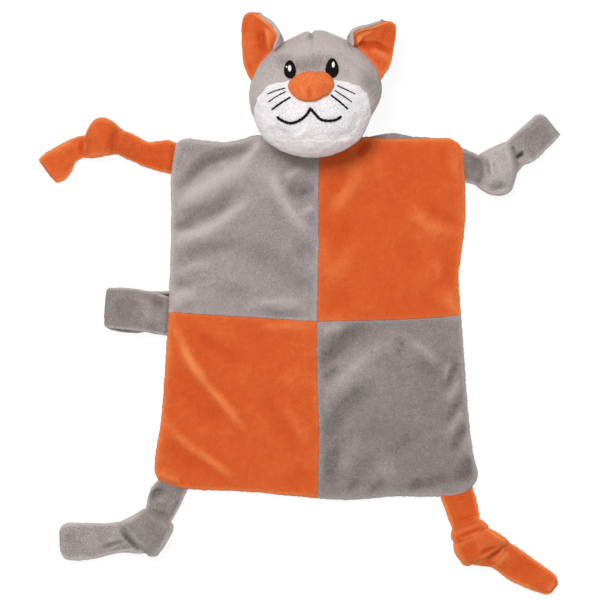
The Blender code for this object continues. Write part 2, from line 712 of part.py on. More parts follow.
def build_head_cloth(pivot):
    muzzle_seam = head_curve(MUZZLE_SEAM_PIXELS)
    chin_seam = head_curve(CHIN_SEAM_PIXELS)
    left, right = rim_angle(MUZZLE_SEAM_PIXELS[0]), rim_angle(MUZZLE_SEAM_PIXELS[-1])
    chin_left, chin_right = rim_angle(CHIN_SEAM_PIXELS[0]), rim_angle(CHIN_SEAM_PIXELS[-1])

    crown = rim_arc(left, right - math.tau)
    head_shell("face_upper", grey, pivot, strip_between(muzzle_seam, crown),
               graded_stops(CROWN_EDGE_SHARES, 20), graded_stops(SEAM_EDGE_SHARES, 4),
               True, (HEAD_WIDTH * 2, HEAD_LENGTH / 2))

    cheeks = coons_patch(chin_seam, muzzle_seam, rim_arc(chin_left, left), rim_arc(chin_right, right))
    inset_share = GAP / HEAD_LENGTH
    head_shell("muzzle", white, pivot, lambda s, t: cheeks(s, inset_share + (1 - 2 * inset_share) * t),
               graded_stops(MUZZLE_EDGE_SHARES, 13), graded_stops(SEAM_EDGE_SHARES, 5),
               True, (HEAD_WIDTH, HEAD_LENGTH / 2))

    jaw = rim_arc(chin_left, chin_right)
    head_shell("chin", white, pivot, strip_between(jaw, chin_seam),
               graded_stops(CHIN_EDGE_SHARES, 12), graded_stops(CHIN_SEAM_EDGE_SHARES, 1),
               True, (HEAD_WIDTH, HEAD_LENGTH / 5))

    back_stops = graded_stops(BACK_EDGE_SHARES, 8)
    head_shell("head_back", grey, pivot, lambda s, t: disc_from_square(2 * s - 1, 2 * t - 1),
               back_stops, back_stops, False, (HEAD_WIDTH, HEAD_LENGTH))


def build_stuffing(pivot):
    """The stuffing fills the cloth: a ball carried to the head's own shape."""
    mesh = bmesh.new()
    bmesh.ops.create_uvsphere(mesh, u_segments=26, v_segments=14, radius=1)
    depth = HEAD_CLOTH + STUFFING_GAP
    for vertex in mesh.verts:
        height = min(max(vertex.co.z, -1.0), 1.0)
        reach = 1 - math.asin(abs(height)) / (math.pi / 2)
        angle = math.atan2(vertex.co.y, vertex.co.x)
        vertex.co = head_point(reach * math.cos(angle), reach * math.sin(angle), height >= 0, depth)
    add_piece("head_stuffing", mesh, fibre, pivot)


def on_face(plan, height):
    """Point at a height over the face, for a plan place from the head's centre."""
    place = disc_place(plan)
    point = head_point(place.x, place.y, True, -height)
    return point + Vector((0.0, 0.0, GAP / 2))


def nose_outline():
    """Middle of the nose, and its outline's radius at an angle about it."""
    places = [head_place(pixel) for pixel in NOSE_PIXELS]
    middle = sum(places, Vector((0.0, 0.0))) / len(places)
    spokes = [place - middle for place in places]
    order = sorted((math.atan2(spoke.y, spoke.x) % math.tau, spoke.length) for spoke in spokes)
    order = [(order[-1][0] - math.tau, order[-1][1])] + order + [(order[0][0] + math.tau, order[0][1])]
    angles = [angle for angle, _ in order]
    radii = [radius for _, radius in order]

    def radius(angle):
        angle = angle % math.tau
        index = 0
        while index < len(angles) - 2 and angle > angles[index + 1]:
            index += 1
        share = (angle - angles[index]) / (angles[index + 1] - angles[index])
        return radii[index] + (radii[index + 1] - radii[index]) * smoothstep(share)

    return middle, radius


def build_nose(pivot):
    """A padded oval: a cloth cover over its own filling, sewn on top of the face."""
    middle, radius = nose_outline()

    def nose_part(outline_share, lower, upper):
        def place(s, t, is_upper):
            u, v = disc_from_square(s, t)
            reach, angle = math.hypot(u, v), math.atan2(v, u)
            out = reach * outline_share * radius(angle)
            plan = middle + Vector((out * math.cos(angle), out * math.sin(angle)))
            dome = math.sqrt(max(1 - (reach * outline_share) ** NOSE_FULLNESS, 0.0))
            return on_face(plan, (upper if is_upper else lower)(dome))
        return sheet_mesh(NOSE_GRID_SHARES, NOSE_GRID_SHARES, place)

    def cover_lower(dome):
        return GAP + max(NOSE_RISE * dome - CLOTH / 2, 0.0)

    cover = nose_part(1.0, cover_lower, lambda dome: GAP + NOSE_EDGE + NOSE_RISE * dome)
    add_piece("nose_cover", cover, orange, pivot)
    filling = nose_part(NOSE_FILLING_SHARE, lambda dome: GAP, lambda dome: cover_lower(dome) - GAP)
    add_piece("nose_filling", filling, fibre, pivot)
    return middle, radius


def nose_cutter(middle, radius):
    """The nose's outline grown by a gap, which the eyes stop at."""
    centre = head_centre()
    count = 40
    rings = []
    for height in (centre.z, centre.z + HEAD_FRONT_DEPTH * 2):
        ring = []
        for index in range(count):
            angle = math.tau * index / count
            out = radius(angle) + GAP
            rim = Vector((out * math.cos(angle), out * math.sin(angle)))
            ring.append(level(centre.xy + middle + rim, height))
        rings.append(ring)
    cutter = add_piece("nose_cutter", loft_mesh(rings), None, collection=cutters)
    cutter.display_type = "WIRE"
    cutter.hide_render = True
    return cutter


def stitched_oval(name, material, pivot, pixels, base, thickness, point_share, steps):
    """A satin-stitched oval that lies over the face."""
    centre, half = pixels
    middle = head_place(centre)
    across = half[0] * HEAD_WIDTH / HEAD_WIDTH_PIXELS
    along = half[1] * HEAD_LENGTH / HEAD_LENGTH_PIXELS
    stops = even_stops(-1.0, 1.0, steps)

    def place(s, t, upper):
        u, v = disc_from_square(s, t)
        plan = middle + Vector((u * across * (1 - point_share * v), v * along))
        crown = math.sqrt(max(1 - (u * u + v * v), 0.0))
        rise = thickness * (STITCH_RIM_SHARE + (1 - STITCH_RIM_SHARE) * crown)
        return on_face(plan, base + (rise if upper else 0.0))

    return add_piece(name, sheet_mesh(stops, stops, place), material, pivot)


def build_eyes(pivot, cutter):
    for name, pixels in (("eye_left", LEFT_EYE_PIXELS), ("eye_right", RIGHT_EYE_PIXELS)):
        eye = stitched_oval(name, black, pivot, pixels, EYE_GAP, EYE_THICKNESS, EYE_POINT_SHARE, 6)
        cut = eye.modifiers.new("nose", "BOOLEAN")
        cut.operation = "DIFFERENCE"
        cut.solver = "EXACT"
        cut.object = cutter
    over_eye = EYE_GAP * 2 + EYE_THICKNESS
    white_stitches = {
        "eye_left_highlight": LEFT_HIGHLIGHT_PIXELS,
        "eye_left_glint": LEFT_GLINT_PIXELS,
        "eye_right_highlight": RIGHT_HIGHLIGHT_PIXELS,
    }
    for name, pixels in white_stitches.items():
        stitched_oval(name, thread_white, pivot, pixels, over_eye, EYE_THICKNESS / 2, 0.0, 4)


def thread_line(name, pivot, curves, radius):
    """A line of black stitches along one or more curves that join end to end."""
    plans = []
    for pixels in curves:
        places = [head_place(pixel) for pixel in pixels]
        curve = smooth_curve(places)
        length = sum((after - here).length for here, after in zip(places, places[1:]))
        steps = max(round(length / THREAD_STEP), 2)
        plans += [curve(index / steps) for index in range(steps + 1)][1 if plans else 0:]
    points = [on_face(plan, THREAD_GAP + radius) for plan in plans]
    rings = []
    for index, point in enumerate(points):
        before, after = points[max(index - 1, 0)], points[min(index + 1, len(points) - 1)]
        along = (after - before).normalized()
        side = along.cross(Vector((0, 0, 1))).normalized()
        up = side.cross(along)
        turns = [math.tau * step / THREAD_SIDES for step in range(THREAD_SIDES)]
        rings.append([point + (side * math.cos(turn) + up * math.sin(turn)) * radius for turn in turns])
    add_piece(name, loft_mesh(rings), black, pivot)


def build_threads(pivot):
    thread_line("mouth", pivot, [MOUTH_LEFT_PIXELS, MOUTH_RIGHT_PIXELS], MOUTH_RADIUS)
    for name, pixels in WHISKER_PIXELS.items():
        radius = WHISKER_RADIUS * (1.0 if name.endswith("bottom") else THIN_SHARE)
        thread_line(name, pivot, [pixels], radius)


# Ears

def ear_angles(pixels):
    """Angles of the side seam where the ear's outer and inner edges are sewn in."""
    start, end = rim_angle(pixels["outer"][0]), rim_angle(pixels["inner"][0])
    if abs(end - start) > math.pi:
        end += math.tau if end < start else -math.tau
    return start, end


def ear_hinge(pixels):
    """A place on an ear's hinge line: a tangent of the side seam, clear of it by the ear's root."""
    middle = sum(ear_angles(pixels)) / 2
    clear = head_radius(middle) + EAR_GAP + EAR_CLOTH + EAR_LAYER_GAP / 2
    return head_centre() + Vector((math.cos(middle), math.sin(middle), 0.0)) * clear


def build_ear(name, pixels, head_pivot):
    """Two layers of cloth, cupped, whose crown-side edge curls up towards the face."""
    start, end = ear_angles(pixels)
    hand = math.copysign(1, start - end)
    centre = head_centre()
    pivot = pivot_empty(name + "_pivot", ear_hinge(pixels), head_pivot)

    def root(share):
        angle = start + (end - start) * share
        out = head_radius(angle) + EAR_GAP
        return Vector((out * math.cos(angle), out * math.sin(angle)))

    outer = smooth_curve([root(0)] + [head_place(pixel) for pixel in pixels["outer"][1:]])
    inner = smooth_curve([root(1)] + [head_place(pixel) for pixel in pixels["inner"][1:]])
    tip = smooth_curve([head_place(pixel) for pixel in pixels["tip"]])
    patch = coons_patch(root, tip, outer, inner)
    width = (root(1) - root(0)).length
    length = (outer(1) - outer(0)).length

    def middle_surface(s, t):
        """The surface between the two layers: flat, cupped, then curled over at s = 1."""
        curl = max((s - (1 - EAR_CURL_SHARE)) / EAR_CURL_SHARE, 0.0)
        turn = curl * EAR_CURL_TURN
        climb = (1 - math.cos(turn)) / (1 - math.cos(EAR_CURL_TURN))
        share = min(s, 1 - EAR_CURL_SHARE) + EAR_CURL_SHARE * math.sin(turn) / EAR_CURL_TURN
        full = 1 - EAR_CURL_SHARE + EAR_CURL_SHARE / EAR_CURL_TURN
        plan = patch(share / full, t)
        grown = smoothstep(t * length / EAR_CURL_START) * (1 - EAR_CURL_FALL_SHARE * t)
        hollow = math.sin(math.pi * min(s / (1 - EAR_CURL_SHARE), 1.0))
        cup = EAR_CUP * hollow * smoothstep(t / EAR_CUP_START_SHARE)
        return level(centre.xy + plan, centre.z + EAR_CURL * climb * grown - cup)

    def layer(side):
        def place(s, t, upper):
            step_share = 0.01
            low_s, high_s = max(s - step_share, 0.0), min(s + step_share, 1.0)
            low_t, high_t = max(t - step_share, 0.0), min(t + step_share, 1.0)
            across = middle_surface(high_s, t) - middle_surface(low_s, t)
            along = middle_surface(s, high_t) - middle_surface(s, low_t)
            normal = across.cross(along).normalized() * hand * side
            edge = min(s * width, (1 - s) * width, t * length, (1 - t) * length)
            thickness = EAR_CLOTH * rounded(edge, EAR_CLOTH)
            return middle_surface(s, t) + normal * (EAR_LAYER_GAP / 2 + (thickness if upper else 0.0))
        return place

    columns = graded_stops([0.0, EAR_CLOTH / width], 9)
    rows = graded_stops([0.0, EAR_CLOTH / length], 6)
    add_piece(name + "_front", sheet_mesh(columns, rows, layer(1)), orange, pivot)
    add_piece(name + "_back", sheet_mesh(columns, rows, layer(-1)), grey, pivot)


# Limbs

class Station:
    """A cross-section of a strap: its two edges in plan, and its lowest and highest level."""

    def __init__(self, a, b, low, high):
        self.a, self.b, self.low, self.high = Vector(a), Vector(b), low, high

    def shifted(self, offset, half_thickness):
        middle = (self.low + self.high) / 2
        return Station(self.a + offset, self.b + offset, middle - half_thickness, middle + half_thickness)

    def ring(self, swell=None):
        """Points round the section, which swell(across) makes stand out on its upper side."""
        centre, half = (self.a + self.b) / 2, (self.a - self.b) / 2
        middle, rise = (self.low + self.high) / 2, (self.high - self.low) / 2
        points = []
        for index in range(LIMB_RING_POINTS):
            angle = math.tau * index / LIMB_RING_POINTS
            across = signed_power(math.cos(angle), LIMB_SIDE_POWER)
            up = signed_power(math.sin(angle), LIMB_TOP_POWER)
            height = middle + rise * up
            if swell is not None and up > 0:
                height += swell(across) * math.sqrt(up)
            points.append(level(centre + half * across, height))
        return points


def station_curve(stations):
    """Stations between the given ones, on smooth curves through their edges and levels."""
    stops = chord_stops([level((s.a + s.b) / 2, (s.low + s.high) / 2) for s in stations])
    edge_a = spline([s.a for s in stations], stops)
    edge_b = spline([s.b for s in stations], stops)
    low = spline([s.low for s in stations], stops)
    high = spline([s.high for s in stations], stops)

    def at(share):
        return Station(edge_a(share), edge_b(share), max(low(share), 0.0), high(share))

    return at


def root_stations(root, inward):
    """Sections that round off the sewn end of a strap about its hinge axis."""
    radius = (root.high - root.low) / 2
    turns = (math.radians(78), math.radians(45))
    return [root.shifted(inward * radius * math.sin(turn), radius * math.cos(turn)) for turn in turns]


def end_stations(last, onward):
    """Sections that round off the free end of a strap."""
    radius = (last.high - last.low) / 2
    ends = []
    for turn in (math.radians(40), math.radians(75)):
        station = last.shifted(onward * radius * math.sin(turn), radius * math.cos(turn))
        inset = (station.b - station.a).normalized() * radius * (1 - math.cos(turn))
        station.a, station.b = station.a + inset, station.b - inset
        station.low = max(station.low, last.low)
        ends.append(station)
    return ends


def perpendicular(a, b, towards):
    """Unit plan vector square to the line a to b, on the side of towards."""
    line = (b - a).normalized()
    normal = Vector((line.y, -line.x))
    return normal if normal.dot(towards - (a + b) / 2) > 0 else -normal


def hinge_clearance(a, b, outward, sides, radius):
    """Offset that carries the line a to b clear of the blanket's edge by a gap and a radius."""
    along = (b - a).normalized()
    reach = 0.0
    for side in sides:
        for index in range(EDGE_SAMPLES + 1):
            offset = side(index / EDGE_SAMPLES) - a
            if 0 <= offset.dot(along) <= (b - a).length:
                reach = max(reach, offset.dot(outward))
    return outward * (reach + GAP + radius)


def build_limb(name, side, material):
    """A strap with its knot, hinged at the blanket's edge, and its tail, hinged at the knot."""
    table = LIMB_PIXELS[name]
    a, b = (blanket_place(pixel) for pixel in table["root"])
    root_pixel = [(p + q) / 2 for p, q in zip(*table["root"])]
    scale = STRAP_WIDTH / STRAP_WIDTH_PIXELS
    outward = perpendicular(a, b, a * 2 - BLANKET_CENTRE)

    def place(pixel):
        return plan_place(pixel, root_pixel, (a + b) / 2, scale, scale)

    middle = CLOTH + GAP / 2
    half = STRAP_THICKNESS / 2
    clear = hinge_clearance(a, b, outward, [side], half)
    root = Station(a + clear, b + clear, middle - half, middle + half)
    pivot = pivot_empty(name + "_pivot", level((root.a + root.b) / 2, middle))
    strap = [Station(place(p), place(q), middle - half, middle + half * STRAP_CROWN_SHARE)
             for p, q in table["strap"]]
    heights = KNOT_HEIGHT_SHARES[:len(table["knot"]) - 1] + [KNOT_FACE_SHARE]
    knot = [Station(place(p), place(q), 0.0, KNOT_HEIGHT * share)
            for (p, q), share in zip(table["knot"], heights)]
    add_strap(name, root, strap, knot, outward, material, pivot)
    lifts = [TAIL_LIFT * share for share in TAIL_SAG_SHARES] + [0.0] * len(table["tail"])
    tail = [Station(place(p), place(q), lift, lift + TAIL_THICKNESS)
            for (p, q), lift in zip(table["tail"], lifts)]
    add_tail(name + "_tail", knot[-1], tail, material, pivot)


def add_strap(name, root, strap, knot, outward, material, pivot):
    stations = [root] + strap + knot
    body = station_curve(stations)
    knot_start = (len(strap) + KNOT_START_SHARE) / (len(stations) - 1)
    wrap_start, wrap_end, slant = WRAP_SHARES[name]
    rings = [station.ring() for station in root_stations(root, -outward)]
    for share in even_stops(0, 1, 17):
        along = (share - knot_start) / (1 - knot_start)

        def swell(across, along=along):
            position = along - slant * across
            return WRAP_RISE * (smoothstep((position - wrap_start) / WRAP_EDGE_SHARE)
                                - smoothstep((position - wrap_end) / WRAP_EDGE_SHARE))

        rings.append(body(share).ring(swell))
    add_piece(name, loft_mesh(rings), material, pivot)


def add_tail(name, face, tail, material, knot_pivot):
    """The free end of a limb, hinged just beyond the end face of the knot."""
    onward = perpendicular(face.a, face.b, (tail[0].a + tail[0].b) / 2)
    half = TAIL_THICKNESS / 2
    middle = (face.a + face.b) / 2 + onward * (half + GAP)
    half_line = (face.a - face.b) / 2 * TAIL_ROOT_SHARE
    root = Station(middle + half_line, middle - half_line, TAIL_LIFT, TAIL_LIFT + TAIL_THICKNESS)
    pivot = pivot_empty(name + "_pivot", level(middle, TAIL_LIFT + half), knot_pivot)
    body = station_curve([root] + tail)
    end = tail[-1]
    end_onward = perpendicular(end.a, end.b, (end.a + end.b) - (tail[-2].a + tail[-2].b) / 2)
    rings = [station.ring() for station in root_stations(root, -onward)]
    rings += [body(share).ring() for share in even_stops(0, 1, 9)]
    rings += [station.ring() for station in end_stations(end, end_onward)]
    add_piece(name, loft_mesh(rings), material, pivot)


# Carry loop

def loop_path():
    """Centre line of the folded strip in reach and height, round from the root and back."""
    half = LOOP_CLOTH / 2
    middle = CLOTH + GAP / 2
    tight = half + LOOP_ROOT_GAP / 2
    wide = (LOOP_OPENING + LOOP_CLOTH) / 2
    bottom = half
    top = bottom + 2 * wide
    end = LOOP_REACH - half - wide
    path = []
    for turn in (90, 135, 180, 225, 270):
        angle = math.radians(turn)
        path.append((tight * math.cos(angle), middle + tight * math.sin(angle)))
    for share in LOOP_LOWER_SHARES:
        blend = smoothstep(share / LOOP_SETTLE_SHARE)
        path.append((end * share, (middle - tight) * (1 - blend) + bottom * blend))
    for turn in range(-90, 91, 30):
        angle = math.radians(turn)
        path.append((end + wide * math.cos(angle), bottom + wide + wide * math.sin(angle)))
    for share in LOOP_UPPER_SHARES:
        blend = smoothstep(share / LOOP_CLIMB_SHARE)
        path.append((end * share, (middle + tight) * (1 - blend) + top * blend))
    return path


def loop_edges(reach, height):
    """The strip's two edges at a reach and height, as lengths up the blanket's side from the root."""
    scale = LOOP_REACH / LOOP_REACH_PIXELS
    root_pixel = (LOOP_ROOT_PIXELS[0][1] + LOOP_ROOT_PIXELS[1][1]) / 2
    out_share = min(max(reach / LOOP_REACH, 0.0), 1.0)
    upper_share = smoothstep((height - LOOP_CLOTH) / LOOP_OPENING)
    edges = []
    for index in (0, 1):
        lower = spline([LOOP_LOWER_PIXELS[1][index], LOOP_LOWER_PIXELS[0][index]], [0.0, 1.0])
        upper = spline([LOOP_UPPER_PIXELS[1][index], LOOP_UPPER_PIXELS[0][index]], [0.0, 1.0])
        pixel = lower(out_share) * (1 - upper_share) + upper(out_share) * upper_share
        edges.append((root_pixel - pixel) * scale)
    return edges


def build_loop(material, sides):
    """A strip of cloth folded over, both ends sewn into the blanket's side seam."""
    a, b = (blanket_place(pixel) for pixel in LOOP_ROOT_PIXELS)
    outward = perpendicular(a, b, a * 2 - BLANKET_CENTRE)
    along = (a - b).normalized()
    root_radius = LOOP_CLOTH + LOOP_ROOT_GAP / 2
    origin = (a + b) / 2 + hinge_clearance(a, b, outward, sides, root_radius)
    pivot = pivot_empty("carry_loop_pivot", level(origin, CLOTH + GAP / 2))
    path = loop_path()
    corner = math.cos(math.pi / LOOP_SIDES)
    rings = []
    for index, (reach, height) in enumerate(path):
        before, after = path[index - 1], path[(index + 1) % len(path)]
        tangent = Vector((after[0] - before[0], after[1] - before[1])).normalized()
        normal = Vector((tangent.y, -tangent.x))
        top, bottom = loop_edges(reach, height)
        ring = []
        for step in range(LOOP_SIDES):
            angle = math.tau * (step + 0.5) / LOOP_SIDES
            across = (top + bottom) / 2 + (top - bottom) / 2 * math.cos(angle) / corner
            up = signed_power(math.sin(angle), LOOP_SIDE_POWER) * LOOP_CLOTH / 2
            plan = origin + outward * (reach + normal.x * up) + along * across
            ring.append(level(plan, height + normal.y * up))
        rings.append(ring)
    add_piece("carry_loop", loft_mesh(rings, closed=True), material, pivot)


for item in list(bpy.data.objects):
    bpy.data.objects.remove(item, do_unlink=True)

parts = new_collection(COLLECTION_NAME)
cutters = new_collection("cutters")
grey = plush("grey_plush", (0.30, 0.27, 0.26))
orange = plush("orange_plush", (0.66, 0.11, 0.025))
white = plush("white_plush", (0.76, 0.76, 0.78))
fibre = plush("stuffing_fibre", (0.85, 0.85, 0.83))
black = plush("black_thread", (0.010, 0.008, 0.008), 0.6)
thread_white = plush("white_thread", (0.80, 0.78, 0.76), 0.6)

blanket_sides = build_blanket()
head_hinge = level(neck_place() - Vector((0.0, EDGE_ROUND)), CLOTH + GAP / 2)
head_pivot = pivot_empty("head_pivot", head_hinge)
build_head_cloth(head_pivot)
build_stuffing(head_pivot)
nose_middle, nose_radius = build_nose(head_pivot)
build_eyes(head_pivot, nose_cutter(nose_middle, nose_radius))
build_threads(head_pivot)
build_ear("ear_left", LEFT_EAR_PIXELS, head_pivot)
build_ear("ear_right", RIGHT_EAR_PIXELS, head_pivot)
for limb_name, side_name in LIMB_SIDES.items():
    limb_material = orange if limb_name in ("arm_left", "leg_right") else grey
    build_limb(limb_name, blanket_sides[side_name], limb_material)
build_loop(grey, [blanket_sides["left_upper"], blanket_sides["left_lower"]])
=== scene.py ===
"""The looks of the comfort blanket lovey: plush cloth, folds, knots and stitches.

Lengths are in metres and +Z is up.  The toy lies face up with its head towards +Y.
A name ending in PIXELS holds places in the photograph's 600 x 600 frame, which was
taken from straight above; place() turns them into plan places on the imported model.
"""
import itertools
import json
import math

import bpy
import numpy as np
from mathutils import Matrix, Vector

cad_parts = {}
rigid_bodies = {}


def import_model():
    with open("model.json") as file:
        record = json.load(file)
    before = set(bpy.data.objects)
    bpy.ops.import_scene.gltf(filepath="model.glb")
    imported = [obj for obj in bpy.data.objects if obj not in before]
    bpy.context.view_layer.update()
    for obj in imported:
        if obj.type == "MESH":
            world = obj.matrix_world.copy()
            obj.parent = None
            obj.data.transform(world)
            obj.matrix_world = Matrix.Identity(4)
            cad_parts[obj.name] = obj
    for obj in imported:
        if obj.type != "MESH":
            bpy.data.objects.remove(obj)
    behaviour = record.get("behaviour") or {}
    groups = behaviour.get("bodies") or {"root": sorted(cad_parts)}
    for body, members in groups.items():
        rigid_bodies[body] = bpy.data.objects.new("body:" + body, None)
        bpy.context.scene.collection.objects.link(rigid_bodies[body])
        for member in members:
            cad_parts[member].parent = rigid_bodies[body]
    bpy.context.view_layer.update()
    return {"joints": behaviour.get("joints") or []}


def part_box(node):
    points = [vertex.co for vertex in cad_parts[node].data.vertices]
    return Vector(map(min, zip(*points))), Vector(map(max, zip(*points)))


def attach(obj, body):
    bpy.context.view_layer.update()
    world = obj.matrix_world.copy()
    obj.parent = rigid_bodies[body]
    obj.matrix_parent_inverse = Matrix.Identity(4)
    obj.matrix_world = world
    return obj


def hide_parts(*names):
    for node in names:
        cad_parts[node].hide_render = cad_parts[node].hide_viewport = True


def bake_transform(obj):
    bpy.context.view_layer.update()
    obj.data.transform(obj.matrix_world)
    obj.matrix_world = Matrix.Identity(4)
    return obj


for item in list(bpy.data.objects):
    bpy.data.objects.remove(item, do_unlink=True)
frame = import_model()

# Scale of the photograph, from the back panel's own box
BLANKET_LEFT_PIXEL = 154.25
BLANKET_RIGHT_PIXEL = 476.55
BLANKET_BOTTOM_PIXEL = 499.57
blanket_low, blanket_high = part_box("back_panel")
PIXEL = (blanket_high.x - blanket_low.x) / (BLANKET_RIGHT_PIXEL - BLANKET_LEFT_PIXEL)

# Cloth
CLOTH = 0.0027                # one layer of plush with its pile
HEAD_CLOTH = 0.0017
GAP = 0.0003                  # between layers that touch
MID_LEVEL = CLOTH + GAP / 2   # the blanket's edge seam over the floor
PANEL_STEP = 0.00080          # mesh step on the blanket
HEAD_STEP = 0.00070
EDGE_STEPS = (0.0, 0.00012, 0.00035, 0.0007, 0.0012)

# Pile: clumps that stand out of the cloth, as size, height and seed
PILE_CLUMPS = ((0.0016, 0.00017, 3), (0.0034, 0.00015, 4), (0.0070, 0.00018, 5))
HEAD_CLUMPS = ((0.0015, 0.00021, 7), (0.0032, 0.00021, 8), (0.0070, 0.00022, 9))
MUZZLE_CLUMPS = ((0.0016, 0.00022, 7), (0.0036, 0.00034, 8), (0.0090, 0.00042, 9))
NOSE_CLUMPS = ((0.0014, 0.00012, 13), (0.0032, 0.00016, 14))
LIMB_CLUMPS = ((0.0013, 0.00016, 15), (0.0027, 0.00018, 16), (0.0060, 0.00026, 17))
OUTLINE_FUZZ = ((0.0013, 0.00024, 41), (0.0040, 0.00012, 43))
SEAM_FUZZ = ((0.036, 0.0085, 45), (0.090, 0.0070, 47))     # on the head's unit disc
NOISE_CELLS = 32
HOLLOW_ROUNDS = 24            # smoothing rounds that find hollows and ridges
HOLLOW_DEPTH = 0.00050        # a hollow this deep gets the full painted shade
SMOOTHING_SHARE = 0.65        # of the way to its neighbours' mean, in one round

# Blanket
EDGE_ROLL = 0.0042            # width of the rolled outer edge
# Depth and width over which a panel sinks at its outer edge and at a seam
PANEL_DROPS = {"outer": (CLOTH * 0.98, EDGE_ROLL), "seam": (0.0006, 0.0015)}
LEAST_LEVEL_SHARE = 0.6       # of the front cloth's thickness, which the deepest dip leaves
PANEL_RIM_CLOTH = 0.00002     # thickness left at the rolled rims
BACK_RIM_CLOTH = 0.0001
BACK_FOLD_SHARE = 0.2         # how far the back panel follows the folds
RIM_SHEEN_WIDTH = 0.0032            # painted sheen: the pile is drawn lighter this close to an edge
PANEL_RIM_PAINTED_SHEEN = 0.95
# Painted light and shade: whole panels of the same cloth drawn lighter or darker
PANEL_PAINTED_SHADING = {"panel_upper_left": 0.22, "panel_lower_right": -0.30}
CORNER_RADIUS = 0.0108
SHARP_CORNER_RADIUS = 0.0032
BLUNT_CORNER_RADIUS = 0.0050
TOP_LEFT_PIXELS = [
    (176.4, 141.6), (187, 138.2), (202, 140), (223, 141.8), (240, 139.6), (250.5, 136), (262, 135),
    (319, 137.5),
]
TOP_RIGHT_PIXELS = [(319, 137.5), (367, 136.5), (395, 138), (440, 137.6), (464, 138.6)]
TOP_RIGHT_BACK_PIXELS = [(319, 137.5), (367, 136.5), (393, 132.8), (414, 136.6), (464, 138.6)]
LEFT_UPPER_PIXELS = [(168.4, 312), (171, 230), (171, 174), (174, 153), (176.4, 141.6)]
LEFT_LOWER_PIXELS = [(156.6, 479.4), (154.2, 468), (156.4, 448), (160.5, 425), (165, 365), (168.4, 312)]
RIGHT_UPPER_PIXELS = [
    (461.2, 315.5), (458.6, 278), (462, 250), (465.4, 218), (464.8, 168), (464, 138.6),
]
RIGHT_LOWER_PIXELS = [(475.4, 486), (478, 474.5), (473, 452), (468, 410), (464.5, 360), (461.2, 315.5)]
BOTTOM_LEFT_PIXELS = [(156.6, 479.4), (169, 484.6), (184, 489), (249, 492), (317.6, 498.5)]
BOTTOM_RIGHT_PIXELS = [
    (317.6, 498.5), (350, 500), (398, 496.4), (430, 496.8), (462, 494.6), (475.4, 486),
]
SEAM_UPPER_PIXELS = [(317, 321.5), (318.5, 260), (318.8, 191), (319, 138.5)]
SEAM_LOWER_PIXELS = [(317.6, 498.5), (319, 435), (316.8, 367), (317, 321.5)]
SEAM_LEFT_PIXELS = [(168.4, 312), (206.6, 314.5), (245, 317), (317, 321.5)]
SEAM_RIGHT_PIXELS = [(317, 321.5), (356, 320.7), (402, 319.5), (461.2, 315.5)]

